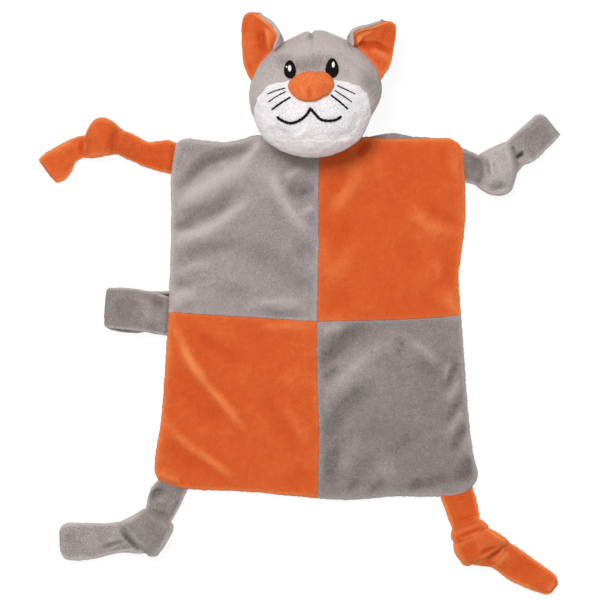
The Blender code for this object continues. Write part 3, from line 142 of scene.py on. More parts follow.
# Folds of the blanket: a line in pixels, share of the rise, and the width in pixels, or one on
# the line's left and one on its right
FOLD_RISE = 0.0030
FOLD_POINTS = 25
FOLD_TAPER_SHARE = 0.38       # a fold rises over this share of its length
FOLD_MARGIN = 0.0050          # folds die out this close to an edge or a seam
FOLD_PAINTED_SHADING_SHARE = 1.05        # painted light on a fold's crest, and painted shade in a trough
BLANKET_UNDULATION = ((0.024, 0.00040, 31), (0.011, 0.00020, 33))
BLANKET_FOLDS = (
    # Upper left
    (((266, 130), (254, 150), (238, 170)), 0.62, 6, 5),
    (((262, 144), (241, 166), (226, 175), (212, 183), (196, 193), (160, 214)), 1.05, 11, 10),
    (((264, 143), (238, 151), (216, 157), (199, 166), (174, 197)), -0.85, 5, 6),
    (((242, 184), (230, 196), (216, 208), (198, 214), (174, 222)), -0.55, 8),
    (((200, 220), (185, 225), (164, 228)), -0.50, 6),
    (((262, 188), (232, 213), (214, 225), (198, 233), (150, 244)), 0.95, 9, 8),
    (((256, 240), (220, 247), (194, 252), (168, 264)), -0.48, 8),
    (((168, 276), (188, 268), (218, 264)), 0.34, 6),
    (((170, 284), (182, 284), (198, 284)), -0.34, 5),
    (((152, 309), (180, 297), (204, 287)), 0.66, 10, 9),
    (((240, 306), (266, 302), (290, 302), (312, 306)), 0.44, 6),
    (((256, 313), (288, 315.5), (316, 315)), -0.40, 4),
    (((262, 150), (264, 178), (276, 208)), 0.36, 18, 16),
    (((266, 160), (279, 192), (290, 210), (300, 223), (318, 240)), 0.75, 8),
    (((230, 240), (262, 254), (284, 268), (310, 294)), -0.42, 13),
    (((208, 292), (232, 290), (256, 290)), -0.26, 10),
    (((286, 184), (293, 173), (308, 168)), 0.50, 5),
    (((284, 186), (299, 190), (318, 186)), -0.60, 7, 8),
    (((296, 190), (302, 191), (310, 190)), -0.40, 4),
    (((297, 214), (307, 210), (318, 205)), 0.46, 5),
    (((292, 254), (306, 250), (318, 246)), -0.28, 8),
    (((290, 280), (302, 284), (318, 286)), -0.26, 9),
    # Upper right
    (((367, 144), (361, 165), (354, 182), (345, 196), (334, 208), (321, 222)), 0.30, 9, 8),
    (((356, 180), (342, 200), (324, 218)), 0.20, 6),
    (((369, 139), (363, 148), (356, 157)), -0.80, 4),
    (((369, 144), (378, 162), (389, 190)), 0.22, 8),
    (((348, 164), (336, 182), (323, 196)), -0.28, 8),
    (((352, 212), (342, 240), (328, 264)), -0.22, 8, 9),
    (((364, 234), (348, 255), (335, 271), (320, 292)), 0.26, 10),
    (((418, 196), (432, 208), (446, 217), (465, 230)), -0.30, 6),
    (((408, 196), (420, 217), (433, 228), (448, 230), (466, 233)), 0.46, 9),
    (((392, 242), (410, 256), (426, 276)), -0.20, 12),
    (((429, 258), (437, 268), (438, 285)), 0.18, 6),
    (((453, 252), (449, 270), (452, 288)), -0.16, 8),
    (((436, 284), (451, 302), (464, 326)), 0.55, 10),
    (((446, 138), (454, 158), (458, 182)), 0.32, 10, 8),
    (((324, 306), (340, 300), (356, 297)), -0.18, 7),
    (((324, 226), (323, 250), (324, 280)), 0.20, 8),
    # Lower left
    (((152, 298), (177, 333), (184, 347), (190, 361), (200, 375), (212, 391), (223, 403), (232, 414),
      (256, 444)), 0.52, 6, 5),
    (((176, 340), (190, 362), (208, 386)), 0.62, 8),
    (((206, 384), (228, 410), (246, 434)), 0.30, 6),
    (((182, 325), (206, 341), (224, 353), (254, 363)), -0.30, 7),
    (((208, 324), (238, 340), (260, 350)), 0.16, 9),
    (((176, 370), (188, 394), (206, 412), (230, 434)), -0.26, 10, 9),
    (((146, 402), (178, 436), (192, 448), (205, 457), (220, 468), (252, 492)), 0.36, 6),
    (((194, 449), (214, 463), (234, 479)), 0.28, 5),
    (((162, 438), (180, 456), (204, 474)), -0.30, 8, 9),
    (((256, 388), (275, 413), (286, 430), (306, 456)), -0.26, 8),
    (((276, 392), (289, 413), (300, 430), (313, 452)), 0.28, 8),
    (((280, 390), (294, 380), (306, 364)), 0.18, 12),
    (((284, 490), (297, 478), (310, 466)), -0.26, 9),
    (((152, 473), (166, 477), (184, 483)), 0.40, 7),
    (((254, 329), (286, 325), (316, 327)), 0.30, 7),
    (((168, 334), (165, 362), (162, 392)), 0.24, 5),
    # Lower right
    (((316, 338), (326, 330), (348, 321)), 0.58, 8),
    (((374, 316), (345, 339), (334, 350), (308, 374)), -0.62, 9, 8),
    (((341, 366), (330, 375), (320, 382)), -0.36, 5),
    (((412, 320), (392, 336), (377, 349), (361, 363), (349, 375), (336, 388), (306, 412)), 0.62, 13),
    (((384, 344), (366, 357), (348, 373), (332, 388)), 0.12, 6),
    (((384, 378), (350, 400), (338, 414), (320, 452)), -0.52, 10, 9),
    (((342, 434), (331, 464), (333, 492)), -0.40, 7, 8),
    (((370, 434), (350, 453), (340, 480)), 0.24, 9),
    (((384, 446), (364, 466), (350, 490)), -0.26, 9),
    (((375, 477), (386, 471), (401, 474)), 0.22, 8),
    (((403, 340), (419, 347), (431, 357), (442, 368)), 0.44, 6),
    (((410, 356), (426, 368), (446, 382)), -0.24, 9),
    (((400, 335), (401, 347), (397, 358)), -0.24, 5),
    (((449, 358), (447, 371), (443, 384)), 0.34, 4),
    (((461, 356), (452, 374), (443, 394)), -0.34, 4),
    (((466, 374), (454, 391), (444, 408)), 0.50, 6),
    (((466, 394), (455, 409), (444, 428)), -0.26, 4),
    (((467, 406), (456, 422), (444, 440)), 0.40, 6),
    (((470, 418), (460, 436), (451, 456)), -0.44, 5),
    (((472, 434), (463, 452), (453, 466)), 0.22, 6),
    (((474, 452), (466, 471), (450, 482)), -0.52, 7),
    (((392, 493), (420, 485), (444, 479), (464, 478)), -0.34, 6),
    (((345, 494), (352, 486), (361, 478)), -0.24, 4),
    (((369, 495), (376, 487), (388, 481)), -0.24, 4),
    (((409, 494), (416, 485), (428, 478)), -0.24, 4),
    (((412, 426), (402, 444), (384, 460)), -0.20, 10),
)

# Head
HEAD_CENTRE_PIXELS = (315.5, 94.1)
HEAD_WIDTH_PIXELS = 133.0
HEAD_LENGTH_PIXELS = 127.4
HEAD_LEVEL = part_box("head_back")[1].z + GAP / 2
HEAD_BACK_DEPTH = 0.0283
HEAD_FRONT_DEPTH = 0.0255
FRONT_FULLNESS = 2.20
BACK_FULLNESS = 2.52
HEAD_RADIUS_SHARES = (
    0.990, 0.990, 0.957, 0.965, 0.998, 0.948, 0.945, 0.966,
    1.000, 1.005, 1.045, 1.020, 1.000, 0.985, 0.970, 0.915,
)
CROWN_NOTCH_PIXELS = (311.2, 30.5)
CROWN_NOTCH_DEPTH = 0.0015
CROWN_NOTCH_WIDTH = 0.0013
# Depth and width of the groove at a piece's four sides
RIM_SEAM = (0.0011, 0.0026)
FACE_SEAM = (0.0006, 0.0024)
CHIN_SEAM = (0.00035, 0.0022)
RIM_CALM_POWER = 8            # how late the seams' unevenness dies out towards the rim
HEAD_PAINTED_LIGHT = 1.40              # painted light: the head's grey is drawn lighter than the blanket's
FACE_HOLLOW_PAINTED_SHADE = 560.0      # how fast painted shade darkens the face with a hollow's depth
# Painted light on the face's ridges and painted shade in its grooves
FACE_FOLD_PAINTED_SHADING_SHARE = 1.7
MUZZLE_SEAM_PIXELS = [
    (253.8, 117), (254.5, 105), (259, 95), (268, 86), (288, 80.4), (311, 79.5),
    (334.5, 80.4), (356.3, 84.4), (365.5, 91.8), (369.8, 104), (370.2, 118.5),
]
CHIN_SEAM_PIXELS = [(261.5, 136.3), (284.8, 139.5), (317, 140.5), (345, 138.5), (364.8, 130.5)]
# Length of each cloth's grid, as shares of the head's width and length
HEAD_GRID_SHARES = {"face_upper": (2.0, 0.6), "muzzle": (1.2, 0.6), "chin": (1.0, 0.2)}
HEAD_BACK_GRID_SHARE = 1.2    # of the head's length, both ways
STUFFING_POINTS = 70
STUFFING_GAP = 0.0012
STUFFING_CLUMPS = ((0.0060, 0.0006, 21),)
# Relief of the face: a middle in pixels, its rise, its spread across and along in pixels
RELIEF = (
    ((292, 112), 0.00315, 35, 30),
    ((334, 112), 0.00315, 35, 30),
    ((313, 138), 0.00190, 45, 25),
    ((289, 66), -0.00110, 15, 16),
    ((334, 65), -0.00110, 15, 16),
    ((308, 67), -0.00240, 19, 9),
    ((281, 60), -0.00100, 8, 7),
    ((319, 58), -0.00110, 12, 7),
    ((312, 108), -0.00070, 5, 9),
    ((272, 84), -0.00060, 9, 6),
    ((347, 78), -0.00060, 8, 8),
    ((378, 92), -0.00190, 9, 18),
    ((367, 84), -0.00215, 8, 14),
    ((268, 76), -0.00060, 12, 14),
    ((300, 47), 0.00070, 12, 10),
    ((330, 46), 0.00070, 14, 10),
)
# Grooves and ridges of the head, as for the blanket
HEAD_FOLDS = (
    (((312.7, 31.6), (310.4, 36), (310.0, 42)), -0.60, 3),
    (((357, 110), (355, 121), (350, 131)), -0.22, 4),
    (((310.4, 104), (311.2, 118), (312, 130)), -0.16, 4),
    (((366, 129.6), (359.3, 136.4), (349.8, 140.6), (335, 143.4)), 0.36, 2.6),
    (((336, 140), (322, 143), (308, 142)), 0.12, 3.6),
    (((255, 134.5), (264.5, 138.2), (282, 139.4)), 0.30, 2.8),
    (((290, 141), (300, 135), (310, 125)), 0.34, 3.4),
    (((268, 124), (279, 131), (294, 132)), -0.42, 5, 4),
    (((362, 125), (350, 132), (336, 135.6), (320, 137)), -0.34, 3.4),
    (((300, 147), (312, 150), (326, 150)), 0.12, 4),
    (((262, 112), (266, 122), (276, 128)), 0.22, 4),
)

# Nose, eyes and stitched lines
NOSE_RISE = 0.0050
NOSE_EDGE = 0.0008
NOSE_FULLNESS = 2.4
NOSE_FILLING_SHARE = 0.80
NOSE_POINTS = 71
NOSE_FILLING_POINTS = 31
NOSE_PIXELS = [
    (333.2, 82.0), (328.0, 75.4), (315, 72.8), (303, 73.8), (294.3, 78.4), (288.8, 86.0),
    (294.3, 97.0), (310.0, 102.2), (322.5, 98.0), (331, 91.2),
]
# Painted light on the nose, and painted light and shade along its folds
NOSE_PAINTED_LIGHT = 0.45
NOSE_FOLD_PAINTED_SHADING_SHARE = 1.4
NOSE_FOLDS = (
    (((296, 80), (305, 78), (316, 78)), 0.16, 5),
    (((309, 86), (309.6, 94), (310.4, 103)), -0.40, 2.2),
    (((315, 95), (323, 91), (330, 83)), -0.34, 6, 5),
)
EYE_THICKNESS = 0.0009
EYE_POINT_SHARE = 0.16
THREAD_PITCH = 0.00050        # from one satin stitch to the next
THREAD_RIDGE = 0.00010
STITCH_ROWS = 7               # mesh rows to a satin stitch
OVAL_COLUMNS = 25
OVAL_RIM_SHARE = 0.35         # thickness at an oval's rim beside that at its middle
RIDGE_RIM_SHARE = 0.3         # the same for the ridges of single stitches
STITCH_ROOT = 0.0004          # how far the stitches reach into the cloth
LEAST_STITCH = 0.00003        # thickness left where the nose covers the stitches
EYES = (
    ("eye_left", (290.3, 70.3), (5.7, 9.0)),
    ("eye_right", (331.8, 69.1), (6.3, 9.8)),
)
HIGHLIGHTS = (
    ("eye_left_highlight", (290.6, 69.8), (1.6, 3.0)),
    ("eye_left_glint", (287.7, 68.4), (0.9, 0.7)),
    ("eye_right_highlight", (332.6, 66.3), (1.4, 2.8)),
)
MOUTH_RADIUS = 0.00084
MOUTH_PIXELS = (
    [(277, 117), (283, 121.1), (290.8, 123.4), (298.9, 121.1), (305.8, 116), (310.4, 109)],
    [(310.4, 109), (315.5, 114.8), (320.7, 119.7), (328.7, 121.1), (335.6, 120), (341.4, 116.5)],
)
WHISKER_RADIUS = 0.00058
THIN_SHARE = 0.62             # the upper whiskers' radius beside the lowest ones'
WHISKER_PIXELS = {
    "whisker_left_top": [(286.0, 88.6), (277, 90.9), (267.3, 94.7)],
    "whisker_left_middle": [(286.6, 91.8), (277.6, 96.5), (268.5, 102.5)],
    "whisker_left_bottom": [(291.0, 97.6), (281.5, 103.2), (271.9, 110.2)],
    "whisker_right_top": [(336.6, 86.0), (345.5, 90.0), (355.1, 94.7)],
    "whisker_right_middle": [(334.4, 91.0), (342.6, 96.2), (351.7, 102.5)],
    "whisker_right_bottom": [(330.4, 95.4), (339, 102), (347.7, 109.6)],
}
STITCH_LENGTH = 0.0027        # along a stitched line
STITCH_END_SHARE = 0.72       # thickness between two stitches beside that at their middle
THREAD_END_SHARE = 0.02       # its root is the share of the thickness left at a thread's end
THREAD_LIFT_SHARE = 0.55      # of the radius, from the face to the thread's middle
THREAD_STEP = 0.00022
THREAD_SIDES = 18
THREAD_STRANDS = 3
STRAND_RISE_SHARE = 0.14

# Ears
EAR_CLOTH = 0.0018
EAR_LAYER_GAP = 0.0005
EAR_EDGE_ROLL = 0.00216
EAR_RIM_CLOTH = 0.00008       # thickness left at the rolled rim
EAR_MID_GAP = 0.00003         # from the middle surface to each layer
EAR_STEP = 0.0005
EAR_SEWN_IN = 0.0010          # how far the ear's root reaches into the head's seam
EAR_CURLS = {
    # Share of the width that curls, its turn at the root, just past the root and at the tip
    "ear_left": (0.42, math.radians(196), math.radians(116), math.radians(92)),
    "ear_right": (0.40, math.radians(168), math.radians(104), math.radians(95)),
}
EAR_ROOT_CURL_SHARE = 0.30    # of the ear's length, over which the root's tighter curl opens
EAR_TONE = 0.12
# Painted light and shade along the ear's folds and painted sheen at its rim
EAR_FOLD_PAINTED_SHADING_SHARE = 1.0
EAR_RIM_PAINTED_SHEEN = 0.9
EAR_CURL_PAINTED_LIGHT = 1.1           # painted light on the steep inner side of the curl, which lies in shade
EAR_CUPS = {"ear_left": 0.0009, "ear_right": 0.0020}
EAR_CUP_START_SHARE = 0.25
EAR_FOLDS = {
    "ear_left": (
        (((258, 28), (262, 40), (264, 58)), -0.62, 3.2),
        (((266.5, 24), (269.5, 36), (268, 52)), 0.80, 5.5, 4.5),
        (((246, 26), (249, 50), (256, 74)), 0.26, 6),
        (((256, 16), (258, 34), (262, 60)), -0.22, 5),
        (((252, 66), (260, 60), (266, 54)), -0.20, 4),
    ),
    "ear_right": (
        (((358, 43), (365, 45.5), (378, 46), (394, 56)), -0.70, 3),
        (((359, 44.2), (362.4, 44.8), (368, 45.2)), -1.50, 1.8),
        (((355.5, 47), (356.0, 40), (359, 33)), 0.90, 4.5, 4),
        (((352, 40), (360, 34), (377, 31)), 0.50, 5),
        (((366, 50), (378, 53), (392, 60)), 0.55, 6, 5),
        (((366, 58), (374, 66), (383, 80)), 0.24, 5),
        (((383, 26), (386, 36), (388, 46)), -0.20, 5),
    ),
}
# Outlines: the outer side and the inner side upwards from the root, and the tip between them
EARS = {
    "ear_left": {
        "outer": [(249.5, 83), (244.0, 66), (242.0, 45.9), (241.5, 27)],
        "tip": [(241.8, 27), (244.6, 15.9), (252.5, 12.4), (261.4, 16.4)],
        "inner": [(284.0, 38.8), (280.2, 31.4), (273.6, 23.4), (261.4, 16.4)],
    },
    "ear_right": {
        "outer": [(384.4, 82.2), (390.4, 64.3), (394.0, 45.9), (396.0, 33)],
        "tip": [(396.0, 33), (395.4, 25.8), (390, 21.8), (381, 21.4)],
        "inner": [(345.8, 36.9), (350.4, 31.0), (358.5, 27.0), (367.5, 25.4), (381, 21.4)],
    },
}

# Limbs: strap, knot bands and tail, as pixel places on both edges along them.  A strap's first
# row lies on the blanket's edge.  A band's row also has its height as a share of the knot's, and
# how far its middle bows onwards in pixels.
STRAP_THICKNESS = 0.0054
KNOT_HEIGHT = 0.0165
TAIL_THICKNESS = 0.0058
TAIL_LIFT = 0.0022
TAIL_SAG_SHARES = (1.0, 1.0, 0.65, 0.20)
STRAP_CROWN_SHARE = 1.1
STRAP_SEWN_IN = 0.0036        # how far a strap reaches into the blanket's seam
STRAP_PINCH = 0.0032          # a strap swells from its pinched seam over this length
STRAP_PINCH_SHARE = 0.14
STRAP_PINCH_START_SHARE = 0.2
CLIMB_START_SHARE = 0.5       # of the strap's length, where it begins to climb into its knot
CLIMB_RATE = 2.2
LIMB_SIDE_POWER = 0.70
LIMB_TOP_POWER = 0.85
LIMB_STEP = 0.00050
LIMB_RING_POINTS = 120
BAND_ROLL = 0.0019            # radius of a knot band's rolled edge
SIDE_SEAM_DIP = 0.00045
SIDE_SEAM_SHARE = 0.22        # of the half thickness, over which a side seam's groove spreads
LIMBS = {
    "arm_left": {
        "strap": [
            ((176.2, 142.2), (171.4, 174.8)), ((168, 139.6), (166, 173.6)),
            ((158, 140.4), (154.4, 170.6)), ((148.4, 141.6), (142.5, 166.2)),
            ((138, 136.2), (132, 161.4)), ((126, 131.2), (122, 157.2)), ((116, 131), (113, 153)),
            ((106, 134), (104, 150)),
        ],
        "climb_share": 0.62,
        "bands": [[
            ((124.5, 130.4), (118.5, 154.4), 0.40, 2), ((119.5, 126.6), (114.5, 155.0), 0.70, 2),
            ((112, 120.4), (109, 156.0), 0.94, 1), ((103, 117.0), (102, 157.2), 1.00, 0),
            ((95.5, 118.8), (96, 158.0), 0.97, -1), ((89.6, 125.0), (90.4, 158.6), 0.86, -2),
            ((85.8, 133.0), (86.8, 158.2), 0.66, -3), ((84.8, 138.0), (84.8, 157.6), 0.50, -2),
        ]],
        "tail": [
            ((96, 139), (98, 153)), ((88, 134.8), (90, 157.8)), ((80.4, 135.4), (82.4, 158.6)),
            ((70, 139.2), (76.6, 161.8)), ((60, 144.4), (73.6, 168.0)), ((51.7, 148.8), (70.2, 174.6)),
            ((45.4, 152.4), (64.6, 180.6)), ((41.6, 155.4), (58.4, 183.4)),
            ((39.2, 158.2), (54.6, 181.4)), ((38.6, 160.4), (51.4, 178.0)),
        ],
    },
    "arm_right": {
        "strap": [
            ((461.4, 146.8), (465.6, 183.0)), ((468, 149.8), (470, 183.6)),
            ((473, 152.0), (474, 185.0)), ((478, 154.4), (479, 187.6)), ((486, 157), (487, 184)),
            ((494, 158), (496, 182)),
        ],
        "climb_share": 0.15,
        "bands": [[
            ((477.6, 155.2), (477.4, 187.4), 0.42, 5), ((482, 152.4), (481.6, 190.6), 0.84, 5),
            ((488, 149.0), (487.4, 193.8), 1.00, 4), ((495, 145.6), (494.6, 196.0), 1.00, 3),
            ((501.4, 142.8), (502, 196.2), 0.96, 4), ((505.6, 141.2), (507.4, 194.4), 0.84, 6),
            ((508.4, 141.0), (511.4, 191.6), 0.62, 8),
        ]],
        "tail": [
            ((496, 150), (500, 180)), ((503, 144.5), (508, 181)), ((510, 137.8), (517.5, 173.2)),
            ((516, 132.2), (523.5, 166.2)), ((522, 126.8), (530.6, 163.0)),
            ((527, 122.2), (537, 159.4)), ((531.4, 118.4), (544.2, 152.2)),
            ((535.4, 115.2), (550.6, 145.6)), ((539.4, 113.7), (555.8, 140.6)),
            ((543.0, 114.4), (559.0, 137.4)), ((545.6, 116.4), (560.6, 135.2)),
        ],
    },
    "leg_left": {
        "strap": [
            ((157.0, 480.4), (188.6, 489.6)), ((152.4, 485.5), (185.6, 495)),
            ((149.2, 491.8), (182.8, 500.4)), ((147, 498.8), (180.0, 506.2)),
            ((145.6, 506), (176.4, 513.8)), ((144.6, 513), (172, 521)), ((143, 520), (165, 529)),
        ],
        "climb_share": 0.20,
        "bands": [[
            ((143.8, 508.2), (172.6, 523.0), 0.55, 0), ((139.6, 510.6), (173.8, 528.0), 0.82, 0),
            ((134, 514.2), (171.0, 536), 1.00, 0), ((129.0, 517), (166.6, 544), 1.00, 0),
            ((124.6, 519.2), (161.6, 551.4), 0.94, 0), ((121.4, 521.0), (156.8, 556.6), 0.82, 1),
            ((118.6, 523.4), (150.0, 557.0), 0.62, 2),
        ]],
        "tail": [
            ((136, 525), (152, 550)), ((127, 521), (147, 553)), ((118, 521.8), (139, 554.0)),
            ((109, 522.8), (127, 553.0)), ((99.3, 523), (112, 554.8)), ((88, 522.6), (97, 558.8)),
            ((76, 522.2), (82, 560.8)), ((68.0, 522.6), (70.4, 560.6)), ((63.2, 524.6), (64.6, 558.8)),
            ((60.4, 528.2), (61.4, 555.2)), ((59.2, 532.0), (60.0, 551.0)),
        ],
    },
    "leg_right": {
        "strap": [
            ((440.4, 497.0), (473.6, 488.4)), ((442.2, 502.5), (475.8, 495.4)),
            ((444.2, 508.4), (477.6, 502)), ((446.6, 515), (479, 509)),
            ((449.4, 522.3), (479.9, 516.4)), ((453, 531), (478, 524)), ((458, 540), (478, 533)),
        ],
        "climb_share": 0.30,
        "bands": [[
            ((451.6, 529.8), (479.6, 518.6), 0.58, 2), ((450.6, 534.0), (484.6, 521.4), 0.76, 1),
            ((450.8, 539.0), (488.0, 524.4), 0.80, 1), ((453.4, 543), (489, 528), 0.74, 1),
            ((458, 548), (489, 534), 0.60, 1),
        ], [
            ((452.8, 542.4), (482.6, 527.2), 0.70, 2), ((452.8, 547.0), (490.6, 528.8), 0.94, 2),
            ((454.8, 553.6), (498, 532.0), 1.00, 2), ((458.6, 560.2), (504.2, 536.2), 0.97, 3),
            ((462.6, 565.0), (508.4, 540.0), 0.84, 3), ((467.6, 566.6), (510.0, 542.4), 0.62, 3),
        ], [
            ((464, 560), (500, 538), 0.50, 1), ((472, 565.0), (506, 541), 0.62, 1),
            ((480, 566.4), (508.6, 542.6), 0.62, 1), ((488.6, 567.2), (509.6, 544.2), 0.52, 1),
            ((494.6, 568.2), (511.0, 546.2), 0.36, 1),
        ]],
        "tail": [
            ((478, 561), (496, 538)), ((485, 565.6), (502, 540)), ((492.6, 568.6), (508.4, 541.6)),
            ((500, 573.8), (515.6, 545.8)), ((508, 579.8), (523.8, 551.0)),
            ((518, 584.8), (532.2, 557.0)), ((530.0, 589.8), (542, 564.4)),
            ((539.0, 593.4), (551.0, 571.2)), ((545.0, 594.8), (556.0, 575.6)),
            ((549.6, 593.6), (558.0, 580.4)), ((552.4, 591.6), (558.2, 584.8)),
        ],
    },
}
# Painted light and shade on each part of a limb, such as the lit cuff and the strap in its shadow
LIMB_PAINTED_SHADING = {
    "arm_left": {"strap": -0.05, "knot": -0.05, "tail": 0.15},
    "arm_right": {"strap": -0.25, "knot": 0.86, "tail": 0.10},
    "leg_left": {"strap": -0.15, "knot": -0.15, "tail": 0.30},
    "leg_right": {"strap": 0.0, "knot": 0.05, "tail": 0.05},
}
# Painted sheen along a limb's rims and painted light and shade along its folds
LIMB_RIM_PAINTED_SHEEN = 1.5
ORANGE_LIMBS = ("arm_left", "leg_right")
LONG_PILE_PARTS = ("arm_right_knot", "leg_left_tail")
LIMB_RIM_START_SHARE = 0.66
LIMB_FOLD_PAINTED_SHADING_SHARE = 1.2
LIMB_FOLDS = {
    "arm_left": (
        (((172, 139.5), (158, 140.5), (146, 142), (134, 135), (120, 128)), 0.30, 6, 5),
        (((119.5, 133), (117, 142), (117.5, 152)), -0.30, 2.4),
        (((126, 130), (123, 140), (122, 150)), 0.22, 3),
        (((84, 153), (100, 154), (114, 152)), 0.22, 4),
        (((96, 121), (91, 130), (89, 142)), 0.20, 5),
        (((111, 130), (112, 142), (108, 152)), -0.22, 6),
        (((82, 139), (80.6, 150), (82, 158)), -0.46, 2.6),
        (((80, 139), (64, 144), (46, 155)), 0.44, 7, 5),
        (((52, 172), (60, 178), (70, 172)), 0.20, 5),
        (((128, 150), (146, 158), (168, 160)), -0.28, 9),
        (((156, 146), (158, 156), (160, 168)), -0.14, 7),
    ),
    "arm_right": (
        (((464, 151), (475, 157), (484, 169)), -0.40, 3),
        (((466, 150), (476, 153), (488, 159)), 0.36, 3),
        (((466, 160), (474, 166), (478, 180)), -0.24, 8),
        (((483, 157), (488, 168), (489, 180)), -0.42, 2.0),
        (((487.4, 155), (492, 167), (493, 180)), 0.36, 2.2),
        (((491, 158), (495, 167), (495, 176)), -0.22, 1.8),
        (((486, 152), (498, 164), (503, 182)), 0.18, 7),
        (((482, 187), (494, 189), (512, 182)), -0.66, 6, 4),
        (((508.5, 142), (514, 154), (515.5, 170)), -0.62, 2.4),
        (((505, 144), (510, 156), (511.6, 172)), 0.26, 2.4),
        (((515, 158.8), (519.5, 155.4), (524.5, 151.5)), -1.30, 1.7),
        (((516, 164), (525, 160), (535, 155)), 0.36, 5),
        (((522, 146), (538, 133), (554, 128)), -0.34, 10),
        (((538, 152), (546, 146), (556, 138)), -0.20, 8),
    ),
    "leg_left": (
        (((150.5, 505), (151.5, 496), (158, 492), (167, 494)), -0.95, 3),
        (((157, 508), (161, 501), (167, 507)), 0.80, 4.5),
        (((185, 493), (177, 507), (169, 521)), -0.42, 1.8),
        (((189, 492), (181.5, 506), (173, 520)), 0.36, 2.4),
        (((150, 508), (159, 514.5), (171, 519)), -0.46, 2.6),
        (((101, 549), (110, 544.5), (125, 540.5)), -0.46, 2.6),
        (((104, 543), (114, 540), (126, 537)), 0.26, 2.2),
        (((108, 553), (122, 548), (134, 545)), -0.26, 2.0),
        (((104, 534), (116, 530), (128, 529)), 0.24, 6),
        (((112, 555), (126, 551), (140, 551)), 0.30, 2.6),
        (((117, 526), (130, 541), (143, 554)), -0.80, 1.9),
        (((144, 509), (133, 516), (121, 523)), 0.44, 5),
        (((148, 512), (154, 530), (163, 548)), -0.26, 9, 8),
        (((121, 523), (134, 538), (148, 553)), 0.34, 3),
        (((174, 527), (167, 541), (158, 554)), 0.34, 3),
        (((66, 530), (74, 543), (70, 556)), -0.24, 8),
        (((84, 528), (92, 540), (88, 554)), 0.14, 7),
    ),
    "leg_right": (
        (((444, 500), (450, 518), (455, 530)), 0.24, 4),
        (((456, 498), (464, 508), (470, 516)), -0.20, 8),
        (((450, 525), (464, 521), (479, 514)), -0.44, 3),
        (((451, 531), (466, 525), (483, 518)), 0.44, 3),
        (((454, 539.5), (468, 534), (486, 527)), -0.40, 2.2),
        (((454, 543.5), (468, 537), (486, 530)), 0.44, 2.6),
        (((458, 552), (470, 549), (480, 546)), -0.26, 9),
        (((484, 524), (498, 533), (510, 541)), 0.42, 8, 6),
        (((478, 556), (488, 550), (500, 546)), -0.30, 1.8),
        (((484, 562), (492, 556), (504, 548)), -0.34, 1.8),
        (((480, 560), (490, 553.6), (502, 548)), 0.20, 1.6),
        (((467, 566), (482, 560), (494, 551)), 0.46, 3),
        (((490, 568), (500, 560), (510, 547)), 0.60, 5),
        (((512, 556), (526, 567), (540, 578)), -0.30, 10),
        (((514, 546), (532, 557), (552, 572)), 0.20, 5),
        (((500, 573), (518, 584), (540, 593)), 0.26, 5),
        (((554, 580), (552, 588), (546, 593)), 0.30, 4),
    ),
}

# Carry loop
LOOP_CLOTH = 0.0024
LOOP_OPENING = 0.0056
LOOP_REACH = 0.0351
LOOP_ROOT_GAP = 0.0004
LOOP_SEWN_IN = 0.0062         # how far the strip reaches back past its hinge into the seam
LOOP_PINCH = 0.0040           # the strip swells from its pinched seam over this length
LOOP_PINCH_START = -0.0044
LOOP_PINCH_SHARE = 0.16
LOOP_ROOT_POINTS = 5          # in the bend inside the seam
LOOP_FOLD_POINTS = 7          # in the far fold
LOOP_SIDES = 72
LOOP_RINGS = 260
LOOP_TURN_RINGS = 34          # rings in the far fold
LOOP_BEND_RINGS = 12          # rings in half the bend inside the seam
LOOP_SIDE_POWER = 0.75
LOOP_EDGE_POWER = 0.5
LOOP_LOWER_SHARES = (0.12, 0.24, 0.42, 0.62, 0.82)
LOOP_UPPER_SHARES = (0.82, 0.62, 0.46, 0.34, 0.24, 0.12)
LOOP_SETTLE_SHARE = 0.20
LOOP_CLIMB_SHARE = 0.40
# Both long edges of the upper and the lower run of the strip
LOOP_EDGE_PIXELS = {
    "upper": (
        [(104.2, 291.5), (105.6, 289.2), (109.5, 287.6), (124, 287.6), (136.5, 288.8),
         (148.3, 291.2), (159, 293.6), (166, 295.8), (176, 298.6)],
        [(103.6, 323.5), (104.6, 326.2), (109.5, 327.9), (121.8, 329.3), (136, 330.7), (150, 331.9),
         (160, 334.6), (174, 337.4)],
    ),
    "lower": (
        [(104.2, 291.5), (106.0, 289.8), (110, 288.6), (140, 290.4), (150, 291.2), (159, 291.2),
         (176, 290.4)],
        [(103.6, 323.5), (104.6, 326.4), (109.5, 329.0), (113, 330.3), (122, 332.3), (136.5, 332.7),
         (147, 332.3), (157, 334.4), (174, 337.4)],
    ),
}
LOOP_TONE = -0.25
# Painted sheen at the loop's rims and painted shade on its inside
LOOP_RIM_PAINTED_SHEEN = 1.4
LOOP_INSIDE_PAINTED_SHADE = -1.6
LOOP_INSIDE_SHADE_SHARE = 0.25
LOOP_LIP_SHARES = (0.83, 0.07)  # where the painted shade inside begins to fade and over what share
LOOP_FOLDS = (
    (((120, 292), (126, 310), (122, 328)), -0.16, 12),
    (((146, 292), (148, 310), (146, 330)), 0.18, 9),
    (((158, 296), (164, 312), (160, 330)), -0.16, 6),
    (((144, 306), (154, 314), (164, 326)), 0.24, 7),
    (((152, 297), (158, 303), (166, 306)), -0.26, 5),
)

